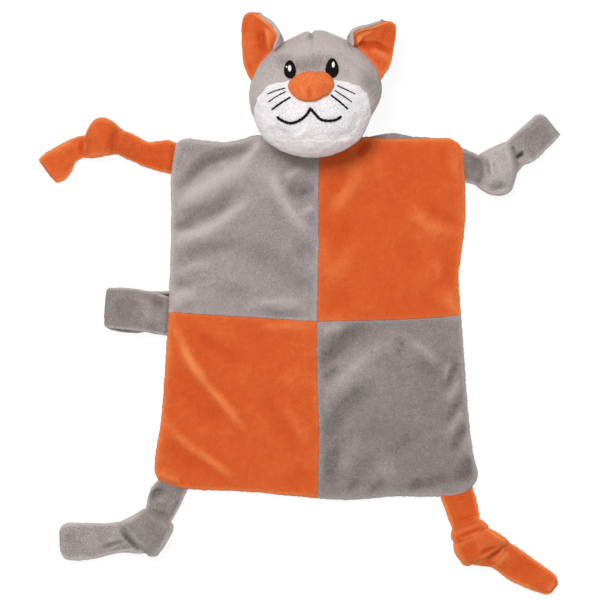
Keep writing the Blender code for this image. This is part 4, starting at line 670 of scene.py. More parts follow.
# Colours of the plush: painted shade, level pile and painted light
TONE_REACH = 1.5              # tones from minus to plus this run through the three colours
DEEP_TONE = 3.6               # a tone this far below level is deep in shade
DEEP_SHADE_SHARE = 0.16
GREY_COLOURS = ((0.098, 0.079, 0.076), (0.270, 0.236, 0.231), (0.478, 0.428, 0.420))
ORANGE_COLOURS = ((0.440, 0.046, 0.008), (0.605, 0.096, 0.0195), (0.800, 0.224, 0.068))
NOSE_COLOURS = ((0.440, 0.056, 0.010), (0.640, 0.130, 0.030), (0.820, 0.235, 0.075))
WHITE_COLOURS = ((0.600, 0.572, 0.582), (0.775, 0.745, 0.755), (0.950, 0.928, 0.938))
FIBRE_COLOURS = ((0.780, 0.780, 0.760), (0.840, 0.840, 0.820), (0.900, 0.900, 0.880))
GREY_SHEEN = (0.90, 0.86, 0.86)
# Plush: slot, colours, sheen and its tint, and how strong the grain shows
PLUSHES = {
    "grey_plush": ("grey_plush", GREY_COLOURS, 0.24, GREY_SHEEN, 0.62),
    "grey_long_plush": ("grey_plush", GREY_COLOURS, 0.28, GREY_SHEEN, 1.05),
    "orange_plush": ("orange_plush", ORANGE_COLOURS, 0.14, (1.0, 0.60, 0.36), 0.36),
    "orange_nose": ("orange_plush", NOSE_COLOURS, 0.16, (1.0, 0.62, 0.40), 0.9),
    "white_plush": ("white_plush", WHITE_COLOURS, 0.14, (1.0, 1.0, 1.0), 1.7),
    "stuffing_fibre": ("stuffing_fibre", FIBRE_COLOURS, 0.2, (1.0, 1.0, 1.0), 1.0),
}
PLUSH_FINISH = {"Roughness": 0.92, "Specular IOR Level": 0.12, "Sheen Roughness": 0.34}
# Tufts, streaks of nap, mottling and broad patches: scale, detail, stretch and turn
PLUSH_NOISES = (
    (1900.0, 0.0, (1.0, 1.0, 1.0), 0.0),
    (1150.0, 2.0, (1.0, 0.5, 1.0), math.radians(-24)),
    (190.0, 3.0, (1.0, 1.0, 1.0), 0.0),
    (42.0, 2.0, (1.0, 1.0, 1.0), 0.0),
)
NOISE_ROUGHNESS = 0.62
NOISE_MIDDLE = 0.5
GRAIN_WEIGHTS = (2.6, 1.5)    # of tufts and streaks in the tone, where the grain is 1
PATCH_WEIGHTS = (0.60, 0.35)  # of mottling and patches in the tone
# Painted shade in hollows and painted light on ridges
HOLLOW_PAINTED_SHADE = -0.34
PILE_WEIGHTS = (0.7, 0.8, 0.7)  # of tufts, streaks and mottling in the bump
PILE_BUMP = {"Strength": 0.6, "Distance": 0.0007}
# Thread: colour, roughness and sheen
THREADS = {
    "black_thread": ((0.006, 0.004, 0.004), 0.8, 0.0),
    "white_thread": ((0.80, 0.78, 0.76), 0.55, 0.1),
}
THREAD_COLOUR_SHARES = (0.7, 1.3)
THREAD_SPECULAR = 0.08
THREAD_NOISE = {"Scale": 2600.0, "Detail": 2.0}
THREAD_BUMP = {"Strength": 0.4, "Distance": 0.0002}

# Camera, floor and lights
PHOTO_SIZE_PIXELS = 600
CAMERA_HEIGHT = 15.0
CAMERA_SIGHT = 45.0
SENSOR = 36.0
SUBJECT_LEVEL = 0.008
FLOOR_SIZE = 4.0
FLOOR_LEVEL = -0.0002
FLOOR_COLOUR = (0.88, 0.88, 0.88, 1.0)
FLOOR_ROUGHNESS = 0.9
FLOOR_GLOW = 1.02
FLOOR_GLOW_SHARE = 0.88       # of what the camera sees of the floor
SOFT_LIGHT_COLOUR = (1.0, 0.99, 0.98, 1.0)
SOFT_LIGHT = 0.46
SEEN_COLOUR = (1.0, 1.0, 1.0, 1.0)
# Lamps: place, size and power
LIGHTS = {
    "key": ((-0.50, 0.82, 2.30), 0.7, 41.0),
    "fill": ((0.9, -0.6, 1.8), 1.6, 6.5),
}
LIGHT_TARGET = (0.0, 0.02, 0.01)


# Curves and numbers

def place(pixels):
    """Plan places of photograph pixels."""
    pixels = np.asarray(pixels, float)
    return np.stack([blanket_low.x + (pixels[..., 0] - BLANKET_LEFT_PIXEL) * PIXEL,
                     blanket_low.y + (BLANKET_BOTTOM_PIXEL - pixels[..., 1]) * PIXEL], axis=-1)


def smoothstep(value):
    value = np.clip(value, 0.0, 1.0)
    return value * value * (3 - 2 * value)


def grown(share, value):
    """A share of the whole that grows from the given one, where value is 0, to 1."""
    return share + (1 - share) * value


def signed_power(value, power):
    return np.sign(value) * np.abs(value) ** power


def unit(vectors):
    return vectors / np.linalg.norm(vectors, axis=-1, keepdims=True)


def polar(radius, angle):
    return np.stack([radius * np.cos(angle), radius * np.sin(angle)], axis=-1)


def lengths_along(points):
    """The length along a chain of points up to each of them."""
    steps = np.linalg.norm(np.diff(points, axis=0), axis=1)
    return np.concatenate([[0.0], np.cumsum(steps)])


def chord_stops(points):
    lengths = lengths_along(points)
    return lengths / lengths[-1]


def spline(values, stops):
    """A smooth curve through rows of values at stops that rise from 0 to 1."""
    values, stops = np.asarray(values, float), np.asarray(stops, float)
    count = len(values)
    low, high = np.maximum(np.arange(count) - 1, 0), np.minimum(np.arange(count) + 1, count - 1)
    slopes = (values[high] - values[low]) / (stops[high] - stops[low])[:, None]

    def at(share):
        share = np.clip(np.asarray(share, float), 0.0, 1.0)
        index = np.clip(np.searchsorted(stops, share) - 1, 0, count - 2)
        span = (stops[index + 1] - stops[index])[..., None]
        t = (share - stops[index])[..., None] / span
        return (values[index] * (2 * t ** 3 - 3 * t ** 2 + 1)
                + slopes[index] * (span * (t ** 3 - 2 * t ** 2 + t))
                + values[index + 1] * (3 * t ** 2 - 2 * t ** 3)
                + slopes[index + 1] * (span * (t ** 3 - t ** 2)))

    return at


def smooth_curve(points):
    points = np.asarray(points, float)
    return spline(points, chord_stops(points))


def chord(curve):
    return float(np.linalg.norm(curve(1.0) - curve(0.0)))


def ring_value(values, angle):
    """A smooth value round a circle, from values at equal angles."""
    values = np.asarray(values, float)
    count = len(values)
    position = (angle / math.tau) % 1.0 * count
    index = np.floor(position).astype(int)
    t = position - index
    before, here, after, beyond = (values[(index + step) % count] for step in (-1, 0, 1, 2))
    return here + 0.5 * t * (after - before + t * (
        2 * before - 5 * here + 4 * after - beyond + t * (3 * (here - after) + beyond - before)))


def lattice_noise(points, size, seed):
    """Smooth noise from -1 to 1 whose features have about a size."""
    table = np.random.default_rng(seed).uniform(-1.0, 1.0, (NOISE_CELLS,) * 3)
    cells = points / size
    base = np.floor(cells).astype(int)
    t = smoothstep(cells - base)
    total = np.zeros(len(points))
    for corner in itertools.product((0, 1), repeat=3):
        weight = np.prod(np.where(np.array(corner) == 1, t, 1 - t), axis=1)
        i, j, k = ((base + np.array(corner)) % NOISE_CELLS).T
        total += weight * table[i, j, k]
    return total


def plan_noise(plan, size, seed):
    places = np.concatenate([plan.reshape(-1, 2), np.zeros((plan[..., 0].size, 1))], axis=1)
    return lattice_noise(places, size, seed).reshape(plan.shape[:-1])


def coons_patch(low, high, left, right):
    """A surface between four sides, low and high along s, left and right along t."""
    def at(s, t):
        a, b = s[..., None], t[..., None]
        across = low(s) * (1 - b) + high(s) * b
        along = left(t) * (1 - a) + right(t) * a
        corners = ((low(0.0) * (1 - a) + low(1.0) * a) * (1 - b)
                   + (high(0.0) * (1 - a) + high(1.0) * a) * b)
        return across + along - corners

    return at


def disc_from_square(a, b):
    return a * np.sqrt(1 - b * b / 2), b * np.sqrt(1 - a * a / 2)


def close_stops(size, step):
    """Stops from 0 to 1 along a length, closer beside both ends."""
    inner = EDGE_STEPS[-1]
    middle = np.linspace(inner, size - inner, max(round((size - 2 * inner) / step), 1) + 1)
    ends = np.array(EDGE_STEPS[:-1])
    return np.concatenate([ends, middle, size - ends[::-1]]) / size


def margins(points):
    """Distance along the grid's lines from each of its four sides."""
    found = []
    for axis in (0, 1):
        steps = np.linalg.norm(np.diff(points, axis=axis), axis=-1)
        far = np.cumsum(steps, axis=axis)
        start = np.zeros_like(np.take(far, [0], axis=axis))
        far = np.concatenate([start, far], axis=axis)
        found += [far, np.take(far, [-1], axis=axis) - far]
    return found


def rolled(distance, width):
    """Share of the full depth lost at a distance from an edge that is rolled over a width."""
    inside = np.clip(distance / width, 0.0, 1.0)
    return 1 - np.sqrt(1 - (1 - inside) ** 2)


# Folds

def line_distance(plan, pixels):
    """Signed distance from a line in pixels, positive on its left, and the share along it."""
    line = smooth_curve(place(pixels))(np.linspace(0.0, 1.0, FOLD_POINTS))
    nearest = np.full(plan.shape[:-1], np.inf)
    side, along = np.ones(plan.shape[:-1]), np.zeros(plan.shape[:-1])
    for index, (a, b) in enumerate(zip(line, line[1:])):
        run, offset = b - a, plan - a
        share = np.clip(offset @ run / (run @ run), 0.0, 1.0)
        gap = offset - share[..., None] * run
        distance = np.hypot(gap[..., 0], gap[..., 1])
        closer = distance < nearest
        nearest = np.where(closer, distance, nearest)
        side = np.where(closer, np.sign(run[0] * offset[..., 1] - run[1] * offset[..., 0]), side)
        along = np.where(closer, (index + share) / (FOLD_POINTS - 1), along)
    return nearest * side, along


def fold_height(plan, folds):
    height = np.zeros(plan.shape[:-1])
    for pixels, rise_share, *widths in folds:
        signed, along = line_distance(plan, pixels)
        width = np.where(signed > 0, widths[0], widths[-1]) * PIXEL
        taper = smoothstep(along / FOLD_TAPER_SHARE) * smoothstep((1 - along) / FOLD_TAPER_SHARE)
        height += FOLD_RISE * rise_share * taper * np.exp(-(signed / width) ** 2)
    return height


# Materials

def node_tools(tree):
    """Two functions for a node tree: add makes a node, join sets or links a node's inputs."""
    def join(node, inputs):
        for name, value in inputs.items():
            if isinstance(value, bpy.types.NodeSocket):
                tree.links.new(value, node.inputs[name])
            else:
                node.inputs[name].default_value = value
        return node

    def add(kind, inputs=(), **settings):
        node = tree.nodes.new(kind)
        for name, value in settings.items():
            setattr(node, name, value)
        return join(node, dict(inputs))

    return add, join


def new_material(name):
    """A material, its shader and its node tools."""
    material = bpy.data.materials.new(name)
    material.use_nodes = True
    return material, material.node_tree.nodes["Principled BSDF"], *node_tools(material.node_tree)


def plush(name, colours, sheen, sheen_tint, grain):
    """Short-pile plush in a painted-shade, a middle and a painted-light colour: grain, nap streaks and
    mottling.
    """
    material, shader, add, join = new_material(name)
    rest, hollow, painted_shading = (add("ShaderNodeAttribute", attribute_name=stored)
                         for stored in ("rest_place", "hollow", "painted_shading"))

    def noise(scale, detail, stretch, turn):
        mapping = add("ShaderNodeMapping", {
            "Vector": rest.outputs["Vector"], "Rotation": (0.0, 0.0, turn), "Scale": stretch})
        texture = add("ShaderNodeTexNoise", {
            "Vector": mapping.outputs["Vector"], "Scale": scale, "Detail": detail,
            "Roughness": NOISE_ROUGHNESS})
        return texture.outputs["Fac"]

    def weighted_sum(parts):
        """Sum of weight x (value - middle)."""
        total = -sum(weight * middle for _, weight, middle in parts)
        for value, weight, _ in parts:
            scaled = add("ShaderNodeMath", {0: value, 1: weight, 2: total}, operation="MULTIPLY_ADD")
            total = scaled.outputs[0]
        return total

    noises = [noise(*row) for row in PLUSH_NOISES]
    weights = (*(weight * grain for weight in GRAIN_WEIGHTS), *PATCH_WEIGHTS)
    # The tone adds painted shade in hollows and the stored painted shading to the grain
    tone = weighted_sum([
        *((texture, weight, NOISE_MIDDLE) for texture, weight in zip(noises, weights)),
        (hollow.outputs["Fac"], HOLLOW_PAINTED_SHADE, 0.0), (painted_shading.outputs["Fac"], 1.0, 0.0),
    ])
    share = add("ShaderNodeMapRange", {"Value": tone, "From Min": -DEEP_TONE, "From Max": TONE_REACH})
    ramp = add("ShaderNodeValToRGB", {"Fac": share.outputs["Result"]})
    deep = tuple(value * DEEP_SHADE_SHARE for value in colours[0])
    for level in (-TONE_REACH, 0.0):
        ramp.color_ramp.elements.new((level + DEEP_TONE) / (TONE_REACH + DEEP_TONE))
    for stop, colour in zip(ramp.color_ramp.elements, (deep, *colours)):
        stop.color = (*colour, 1.0)
    pile = weighted_sum([(texture, weight, NOISE_MIDDLE) for texture, weight in zip(noises, PILE_WEIGHTS)])
    bump = add("ShaderNodeBump", {"Height": pile, **PILE_BUMP})
    join(shader, {
        "Base Color": ramp.outputs["Color"], "Normal": bump.outputs["Normal"],
        "Sheen Weight": sheen, "Sheen Tint": (*sheen_tint, 1.0), **PLUSH_FINISH})
    return material


def thread(name, colour, roughness, sheen):
    """Embroidery thread, with a fine twist in its bump."""
    material, shader, add, join = new_material(name)
    rest = add("ShaderNodeAttribute", attribute_name="rest_place")
    twist = add("ShaderNodeTexNoise", {"Vector": rest.outputs["Vector"], **THREAD_NOISE}).outputs["Fac"]
    dark, light = ((*(min(value * share, 1.0) for value in colour), 1.0)
                   for share in THREAD_COLOUR_SHARES)
    mix = add("ShaderNodeMix", {"Factor": twist, "A": dark, "B": light}, data_type="RGBA")
    bump = add("ShaderNodeBump", {"Height": twist, **THREAD_BUMP})
    join(shader, {
        "Base Color": mix.outputs["Result"], "Normal": bump.outputs["Normal"],
        "Roughness": roughness, "Specular IOR Level": THREAD_SPECULAR, "Sheen Weight": sheen})
    return material


# Meshes

def grid_faces(rows, columns, wrap_rows=False, wrap_columns=False):
    index = np.arange(rows * columns).reshape(rows, columns)
    index = np.pad(index, ((0, int(wrap_rows)), (0, int(wrap_columns))), mode="wrap")
    corners = [index[:-1, :-1], index[1:, :-1], index[1:, 1:], index[:-1, 1:]]
    return np.stack(corners, axis=-1).reshape(-1, 4)


def sheet_shape(upper, lower):
    """A closed sheet from two grids of points with a shared outline."""
    rows, columns = upper.shape[:2]
    count = rows * columns
    index = np.arange(count).reshape(rows, columns)
    rim = np.concatenate([index[0, :-1], index[:-1, -1], index[-1, :0:-1], index[:0:-1, 0]])
    after = np.roll(rim, -1)
    faces = np.concatenate([
        grid_faces(rows, columns),
        grid_faces(rows, columns)[:, ::-1] + count,
        np.stack([rim, after, after + count, rim + count], axis=-1),
    ])
    return np.concatenate([upper.reshape(-1, 3), lower.reshape(-1, 3)]), faces.tolist()


def tube_shape(rings, closed=False):
    """A tube through rings of points: a closed loop, or drawn to a point at both ends."""
    count, sides = rings.shape[:2]
    points, faces = rings.reshape(-1, 3), grid_faces(count, sides, closed, True).tolist()
    if closed:
        return points, faces
    points = np.concatenate([points, rings[:1].mean(axis=1), rings[-1:].mean(axis=1)])
    first, last = np.arange(sides), np.arange(sides) + (count - 1) * sides
    faces += [[b, a, count * sides] for a, b in zip(first, np.roll(first, -1))]
    faces += [[a, b, count * sides + 1] for a, b in zip(last, np.roll(last, -1))]
    return points, faces


def point_normals(mesh):
    normals = np.zeros(len(mesh.vertices) * 3, np.float32)
    mesh.vertices.foreach_get("normal", normals)
    return normals.reshape(-1, 3).astype(float)


def hollows(mesh, points):
    """How far each point lies under the smoothed surface round it, from -1 to 1."""
    edges = np.zeros(len(mesh.edges) * 2, np.int32)
    mesh.edges.foreach_get("vertices", edges)
    a, b = edges.reshape(-1, 2).T
    degree = np.bincount(np.concatenate([a, b]), minlength=len(points))
    smooth = points.copy()
    for _ in range(HOLLOW_ROUNDS):
        total = np.zeros_like(smooth)
        for axis in range(3):
            total[:, axis] = (np.bincount(a, smooth[b, axis], len(points))
                              + np.bincount(b, smooth[a, axis], len(points)))
        smooth = (1 - SMOOTHING_SHARE) * smooth + SMOOTHING_SHARE * total / degree[:, None]
    depth = ((smooth - points) * point_normals(mesh)).sum(axis=1)
    return np.clip(depth / HOLLOW_DEPTH, -1.0, 1.0)


def store(mesh, name, kind, field, values):
    """Store a value for each point of a mesh, for its material to read."""
    values = np.asarray(values, np.float32).ravel()
    mesh.attributes.new(name, kind, "POINT").data.foreach_set(field, values)


def new_object(name, data):
    item = bpy.data.objects.new(name, data)
    bpy.context.scene.collection.objects.link(item)
    return item


def add_piece(name, shape, cloth, clumps=(), tone=0.0, outward=None):
    """A mesh piece with its rest places, hollows and painted light and shade stored for its material.

    Its clumps stand along its normals, or along outward, so that neighbours match at a seam."""
    points, faces = shape
    material, slot = cloths[cloth]
    mesh = bpy.data.meshes.new(name)
    mesh.from_pydata(points.tolist(), [], faces)
    mesh.update()
    a, b, c = points[np.array([face[:3] for face in faces])].transpose(1, 0, 2)
    if (a * np.cross(b, c)).sum() < 0:
        mesh.flip_normals()
    if clumps:
        directions = point_normals(mesh) if outward is None else outward
        rise = sum(height * lattice_noise(points, size, seed) for size, height, seed in clumps)
        points = points + directions * rise[:, None]
        mesh.vertices.foreach_set("co", points.astype(np.float32).ravel())
        mesh.update()
    store(mesh, "rest_place", "FLOAT_VECTOR", "vector", points)
    store(mesh, "hollow", "FLOAT", "value", hollows(mesh, points))
    store(mesh, "painted_shading", "FLOAT", "value", np.full(len(points), tone))
    mesh.shade_smooth()
    mesh.materials.append(material)
    piece = new_object(name, mesh)
    return piece


# Moves

def ride(piece, node, body):
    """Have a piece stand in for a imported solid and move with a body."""
    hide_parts(node)
    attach(piece, body)


def hinge_of(child, start, end):
    """A joint's place, and the direction across it that leads from one pixel towards another."""
    joint = next(item for item in frame["joints"] if item["child"] == child)
    across = np.cross(joint["axis"], [0.0, 0.0, 1.0])
    return np.array(joint["pos_m"]), across * np.sign(across[:2] @ (place(end) - place(start)))


def bend(piece, node):
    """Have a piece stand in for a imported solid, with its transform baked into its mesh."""
    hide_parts(node)
    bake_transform(piece)


# Blanket

def blanket_curve(*tables):
    pixels = list(tables[0])
    for table in tables[1:]:
        pixels += table[1:]
    return smooth_curve(place(pixels))


def round_corners(s, t, corners, width, length):
    """Carry each corner cell of the unit square to a quarter disc."""
    s, t = s.copy(), t.copy()
    for (corner_s, corner_t), radius in corners.items():
        a = 1 - np.abs(corner_s - s) * width / radius
        b = 1 - np.abs(corner_t - t) * length / radius
        inside = (a > 0) & (b > 0)
        round_a, round_b = disc_from_square(np.where(inside, a, 0), np.where(inside, b, 0))
        s += np.where(inside, (a - round_a) * radius / width * (1 if corner_s == 0 else -1), 0)
        t += np.where(inside, (b - round_b) * radius / length * (1 if corner_t == 0 else -1), 0)
    return s, t


def fuzz(plan, layers):
    """Small shifts that make the edges of the pile uneven."""
    return sum(reach * np.dstack([plan_noise(plan, size, seed), plan_noise(plan, size, seed + 1)])
               for size, reach, seed in layers)


def panel_grid(sides, corners):
    """A panel's places, its distances from its four sides and its flat size."""
    low, high, left, right = sides
    width, length = (chord(low) + chord(high)) / 2, (chord(left) + chord(right)) / 2
    s, t = np.meshgrid(close_stops(width, PANEL_STEP), close_stops(length, PANEL_STEP), indexing="ij")
    s, t = round_corners(s, t, corners, width, length)
    plan = coons_patch(low, high, left, right)(s, t)
    return plan + fuzz(plan, OUTLINE_FUZZ), margins(plan), (width, length)


def front_panel(node, cloth, sides, edges, corners):
    """A front panel: seams draw in, outer edges roll down to meet the back."""
    plan, distances, flat = panel_grid(sides, corners)
    nearest = np.minimum.reduce(distances)
    folds = fold_height(plan, BLANKET_FOLDS)
    folds += sum(height * plan_noise(plan, size, seed) for size, height, seed in BLANKET_UNDULATION)
    top = 2 * CLOTH + GAP + folds * smoothstep(nearest / FOLD_MARGIN)
    drops = [PANEL_DROPS[edge][0] * rolled(distance, PANEL_DROPS[edge][1])
             for distance, edge in zip(distances, edges)]
    top = np.maximum(top, CLOTH + GAP + CLOTH * LEAST_LEVEL_SHARE) - np.maximum.reduce(drops)
    bottom = np.minimum(np.maximum(top - CLOTH, CLOTH + GAP), top - PANEL_RIM_CLOTH)
    shape = sheet_shape(np.dstack([plan, top]), np.dstack([plan, bottom]))
    outer = np.minimum.reduce([distance for distance, edge in zip(distances, edges) if edge == "outer"])
    # Painted light and shade: each panel's level, fold crests and troughs, and painted sheen at the outer
    # rim
    painted_shading = (PANEL_PAINTED_SHADING.get(node, 0.0) + FOLD_PAINTED_SHADING_SHARE * folds / FOLD_RISE
           + PANEL_RIM_PAINTED_SHEEN * (1 - smoothstep(outer / RIM_SHEEN_WIDTH)))
    outward = np.repeat([[0.0, 0.0, 1.0], [0.0, 0.0, 0.0]], nearest.size, axis=0)
    piece = add_piece(node + "_cloth", shape, cloth, PILE_CLUMPS, np.tile(painted_shading.ravel(), 2), outward)
    ride(piece, node, "blanket")


def back_panel(sides, corners):
    """The back panel: it follows the higher folds a little and rolls up to meet the front."""
    plan, distances, flat = panel_grid(sides, corners)
    nearest = np.minimum.reduce(distances)
    folds = np.maximum(fold_height(plan, BLANKET_FOLDS), 0.0)
    bottom = ((CLOTH - BACK_RIM_CLOTH) * rolled(nearest, EDGE_ROLL)
              + folds * BACK_FOLD_SHARE * smoothstep(nearest / FOLD_MARGIN))
    top = np.maximum(CLOTH, bottom + BACK_RIM_CLOTH)
    shape = sheet_shape(np.dstack([plan, top]), np.dstack([plan, bottom]))
    piece = add_piece("back_panel_cloth", shape, "grey_plush")
    ride(piece, "back_panel", "blanket")


def build_blanket():
    upper, lower, left, right = (blanket_curve(pixels) for pixels in (
        SEAM_UPPER_PIXELS, SEAM_LOWER_PIXELS, SEAM_LEFT_PIXELS, SEAM_RIGHT_PIXELS))
    front_panel("panel_upper_left", "grey_plush",
                (left, blanket_curve(TOP_LEFT_PIXELS), blanket_curve(LEFT_UPPER_PIXELS), upper),
                ("outer", "seam", "seam", "outer"), {(0, 1): SHARP_CORNER_RADIUS})
    front_panel("panel_upper_right", "orange_plush",
                (right, blanket_curve(TOP_RIGHT_PIXELS), upper, blanket_curve(RIGHT_UPPER_PIXELS)),
                ("seam", "outer", "seam", "outer"), {(1, 1): CORNER_RADIUS})
    front_panel("panel_lower_left", "orange_plush",
                (blanket_curve(BOTTOM_LEFT_PIXELS), left, blanket_curve(LEFT_LOWER_PIXELS), lower),
                ("outer", "seam", "outer", "seam"), {(0, 0): SHARP_CORNER_RADIUS})
    front_panel("panel_lower_right", "grey_plush",
                (blanket_curve(BOTTOM_RIGHT_PIXELS), right, lower, blanket_curve(RIGHT_LOWER_PIXELS)),
                ("seam", "outer", "outer", "seam"), {(1, 0): BLUNT_CORNER_RADIUS})
    back_panel((blanket_curve(BOTTOM_LEFT_PIXELS, BOTTOM_RIGHT_PIXELS),
                blanket_curve(TOP_LEFT_PIXELS, TOP_RIGHT_BACK_PIXELS),
                blanket_curve(LEFT_LOWER_PIXELS, LEFT_UPPER_PIXELS),
                blanket_curve(RIGHT_LOWER_PIXELS, RIGHT_UPPER_PIXELS)),
               {(0, 0): SHARP_CORNER_RADIUS, (1, 0): BLUNT_CORNER_RADIUS,
                (1, 1): CORNER_RADIUS, (0, 1): SHARP_CORNER_RADIUS})


# Head

head_middle = place(HEAD_CENTRE_PIXELS)
head_width, head_length = HEAD_WIDTH_PIXELS * PIXEL, HEAD_LENGTH_PIXELS * PIXEL


def head_radius(angle):
    half_width, half_length = head_width / 2, head_length / 2
    across, along = half_length * np.cos(angle), half_width * np.sin(angle)
    plain = half_width * half_length / np.hypot(across, along) * ring_value(HEAD_RADIUS_SHARES, angle)
    crown = place(CROWN_NOTCH_PIXELS) - head_middle
    turn = np.remainder(angle - math.atan2(crown[1], crown[0]) + math.pi, math.tau) - math.pi
    return plain - CROWN_NOTCH_DEPTH * np.exp(-(turn * half_length / CROWN_NOTCH_WIDTH) ** 2)


def face_relief(plan):
    height = fold_height(plan + head_middle, HEAD_FOLDS)
    for centre, rise, across, along in RELIEF:
        offset = (plan + head_middle - place(centre)) / PIXEL
        height += rise * np.exp(-(offset[..., 0] / across) ** 2 - (offset[..., 1] / along) ** 2)
    return height


def head_point(disc, front, depth=0.0):
    """Points of the head for places in the unit disc, whose rim is the side seam."""
    reach = np.minimum(np.hypot(disc[..., 0], disc[..., 1]), 1.0)
    angle = np.arctan2(disc[..., 1], disc[..., 0])
    fullness = FRONT_FULLNESS if front else BACK_FULLNESS
    out = np.sin(reach * math.pi / 2) ** (2 / fullness)
    up = np.maximum(np.cos(reach * math.pi / 2), 0.0) ** (2 / fullness)
    plan = polar((head_radius(angle) - depth) * out, angle)
    if front:
        height = HEAD_LEVEL + GAP / 2 + (HEAD_FRONT_DEPTH - depth) * up + face_relief(plan) * np.sqrt(up)
    else:
        height = np.maximum(HEAD_LEVEL - GAP / 2 - (HEAD_BACK_DEPTH - depth) * up, depth)
    return np.concatenate([plan + head_middle, height[..., None]], axis=-1)


def disc_place(plan):
    """Place in the unit disc of a plan place from the head's middle."""
    angle = np.arctan2(plan[..., 1], plan[..., 0])
    out = np.minimum(np.hypot(plan[..., 0], plan[..., 1]) / head_radius(angle), 1.0)
    return polar(np.arcsin(out ** (FRONT_FULLNESS / 2)) / (math.pi / 2), angle)


def on_face(plan, height):
    """Points at a height over the face, for plan places on the whole object."""
    return head_point(disc_place(plan - head_middle), True, -height)


def rim_arc(start, end):
    def at(share):
        return polar(1.0, start + (end - start) * np.asarray(share, float))

    return at


def rim_angle(pixel):
    plan = place(pixel) - head_middle
    return math.atan2(plan[1], plan[0]) % math.tau


def head_curve(pixels):
    """A seam of the head as a curve in the unit disc, with both ends on the rim."""
    places = disc_place(place(pixels) - head_middle)
    places[[0, -1]] = unit(places[[0, -1]])
    return smooth_curve(places)


def strip_between(low, high):
    def at(s, t):
        return low(s) * (1 - t[..., None]) + high(s) * t[..., None]

    return at


def disc_places(s, t):
    return np.stack(disc_from_square(2 * s - 1, 2 * t - 1), axis=-1)


def head_cloth(node, cloth, place_on_disc, columns, rows, seams, front=True, tone=0.0):
    """A piece of the head's cloth, drawn in along the seams at its four sides."""
    s, t = np.meshgrid(columns, rows, indexing="ij")
    disc = place_on_disc(s, t)
    inside = 1 - np.minimum(np.hypot(disc[..., 0], disc[..., 1]), 1.0) ** RIM_CALM_POWER
    disc = disc + fuzz(disc, SEAM_FUZZ) * inside[..., None]
    drops = [depth * rolled(distance, width)
             for distance, (depth, width) in zip(margins(head_point(disc, front)), seams)]
    outer = head_point(disc, front, np.maximum.reduce(drops))
    if front:
        plan = outer[..., :2] - head_middle
        folded = fold_height(plan + head_middle, HEAD_FOLDS)
        # Painted shade in the face's hollows, and painted light and shade along its folds
        tone = tone + FACE_HOLLOW_PAINTED_SHADE * np.minimum(face_relief(plan) - folded, 0.0)
        tone = np.tile((tone + FACE_FOLD_PAINTED_SHADING_SHARE * folded / FOLD_RISE).ravel(), 2)
    shape = sheet_shape(outer, head_point(disc, front, HEAD_CLOTH))
    outward = unit(shape[0] - [*head_middle, HEAD_LEVEL])
    clumps = MUZZLE_CLUMPS if cloth == "white_plush" else HEAD_CLUMPS
    piece = add_piece(node + "_cloth", shape, cloth, clumps, tone, outward)
    ride(piece, node, "head")


def build_head():
    muzzle_seam, chin_seam = head_curve(MUZZLE_SEAM_PIXELS), head_curve(CHIN_SEAM_PIXELS)
    left, right = rim_angle(MUZZLE_SEAM_PIXELS[0]), rim_angle(MUZZLE_SEAM_PIXELS[-1])
    chin_left, chin_right = rim_angle(CHIN_SEAM_PIXELS[0]), rim_angle(CHIN_SEAM_PIXELS[-1])

    def grid(node):
        across_share, along_share = HEAD_GRID_SHARES[node]
        return (close_stops(head_width * across_share, HEAD_STEP),
                close_stops(head_length * along_share, HEAD_STEP))

    head_cloth("face_upper", "grey_long_plush",
               strip_between(muzzle_seam, rim_arc(left, right - math.tau)), *grid("face_upper"),
               (RIM_SEAM, RIM_SEAM, FACE_SEAM, RIM_SEAM), tone=HEAD_PAINTED_LIGHT)
    head_cloth("muzzle", "white_plush",
               coons_patch(chin_seam, muzzle_seam, rim_arc(chin_left, left), rim_arc(chin_right, right)),
               *grid("muzzle"), (RIM_SEAM, RIM_SEAM, CHIN_SEAM, FACE_SEAM))
    head_cloth("chin", "white_plush",
               strip_between(rim_arc(chin_left, chin_right), chin_seam), *grid("chin"),
               (RIM_SEAM, RIM_SEAM, RIM_SEAM, CHIN_SEAM))
    stops = close_stops(head_length * HEAD_BACK_GRID_SHARE, HEAD_STEP)
    head_cloth("head_back", "grey_long_plush", disc_places, stops, stops, (RIM_SEAM,) * 4,
               front=False, tone=HEAD_PAINTED_LIGHT)


def build_stuffing():
    """A lumpy ball of fibre that fills the head's cloth."""
    stops = np.linspace(0.0, 1.0, STUFFING_POINTS)
    disc = disc_places(*np.meshgrid(stops, stops, indexing="ij"))
    depth = HEAD_CLOTH + STUFFING_GAP
    shape = sheet_shape(head_point(disc, True, depth), head_point(disc, False, depth))
    piece = add_piece("head_stuffing_fibre", shape, "stuffing_fibre", STUFFING_CLUMPS)
    ride(piece, "head_stuffing", "head")


# Nose, eyes and stitched lines

def nose_outline():
    """The nose's middle and its radius at any angle."""
    middle = place(NOSE_PIXELS).mean(axis=0)
    spokes = place(NOSE_PIXELS) - middle
    angles, radii = np.arctan2(spokes[:, 1], spokes[:, 0]) % math.tau, np.hypot(*spokes.T)
    order = np.argsort(angles)
    angles, radii = angles[order], radii[order]
    angles = np.concatenate([angles[-2:] - math.tau, angles, angles[:2] + math.tau])
    radii = np.concatenate([radii[-2:], radii, radii[:2]])
    span = angles[-1] - angles[0]
    curve = spline(radii[:, None], (angles - angles[0]) / span)

    def radius(angle):
        return curve((angle % math.tau - angles[0]) / span)[..., 0]

    return middle, radius


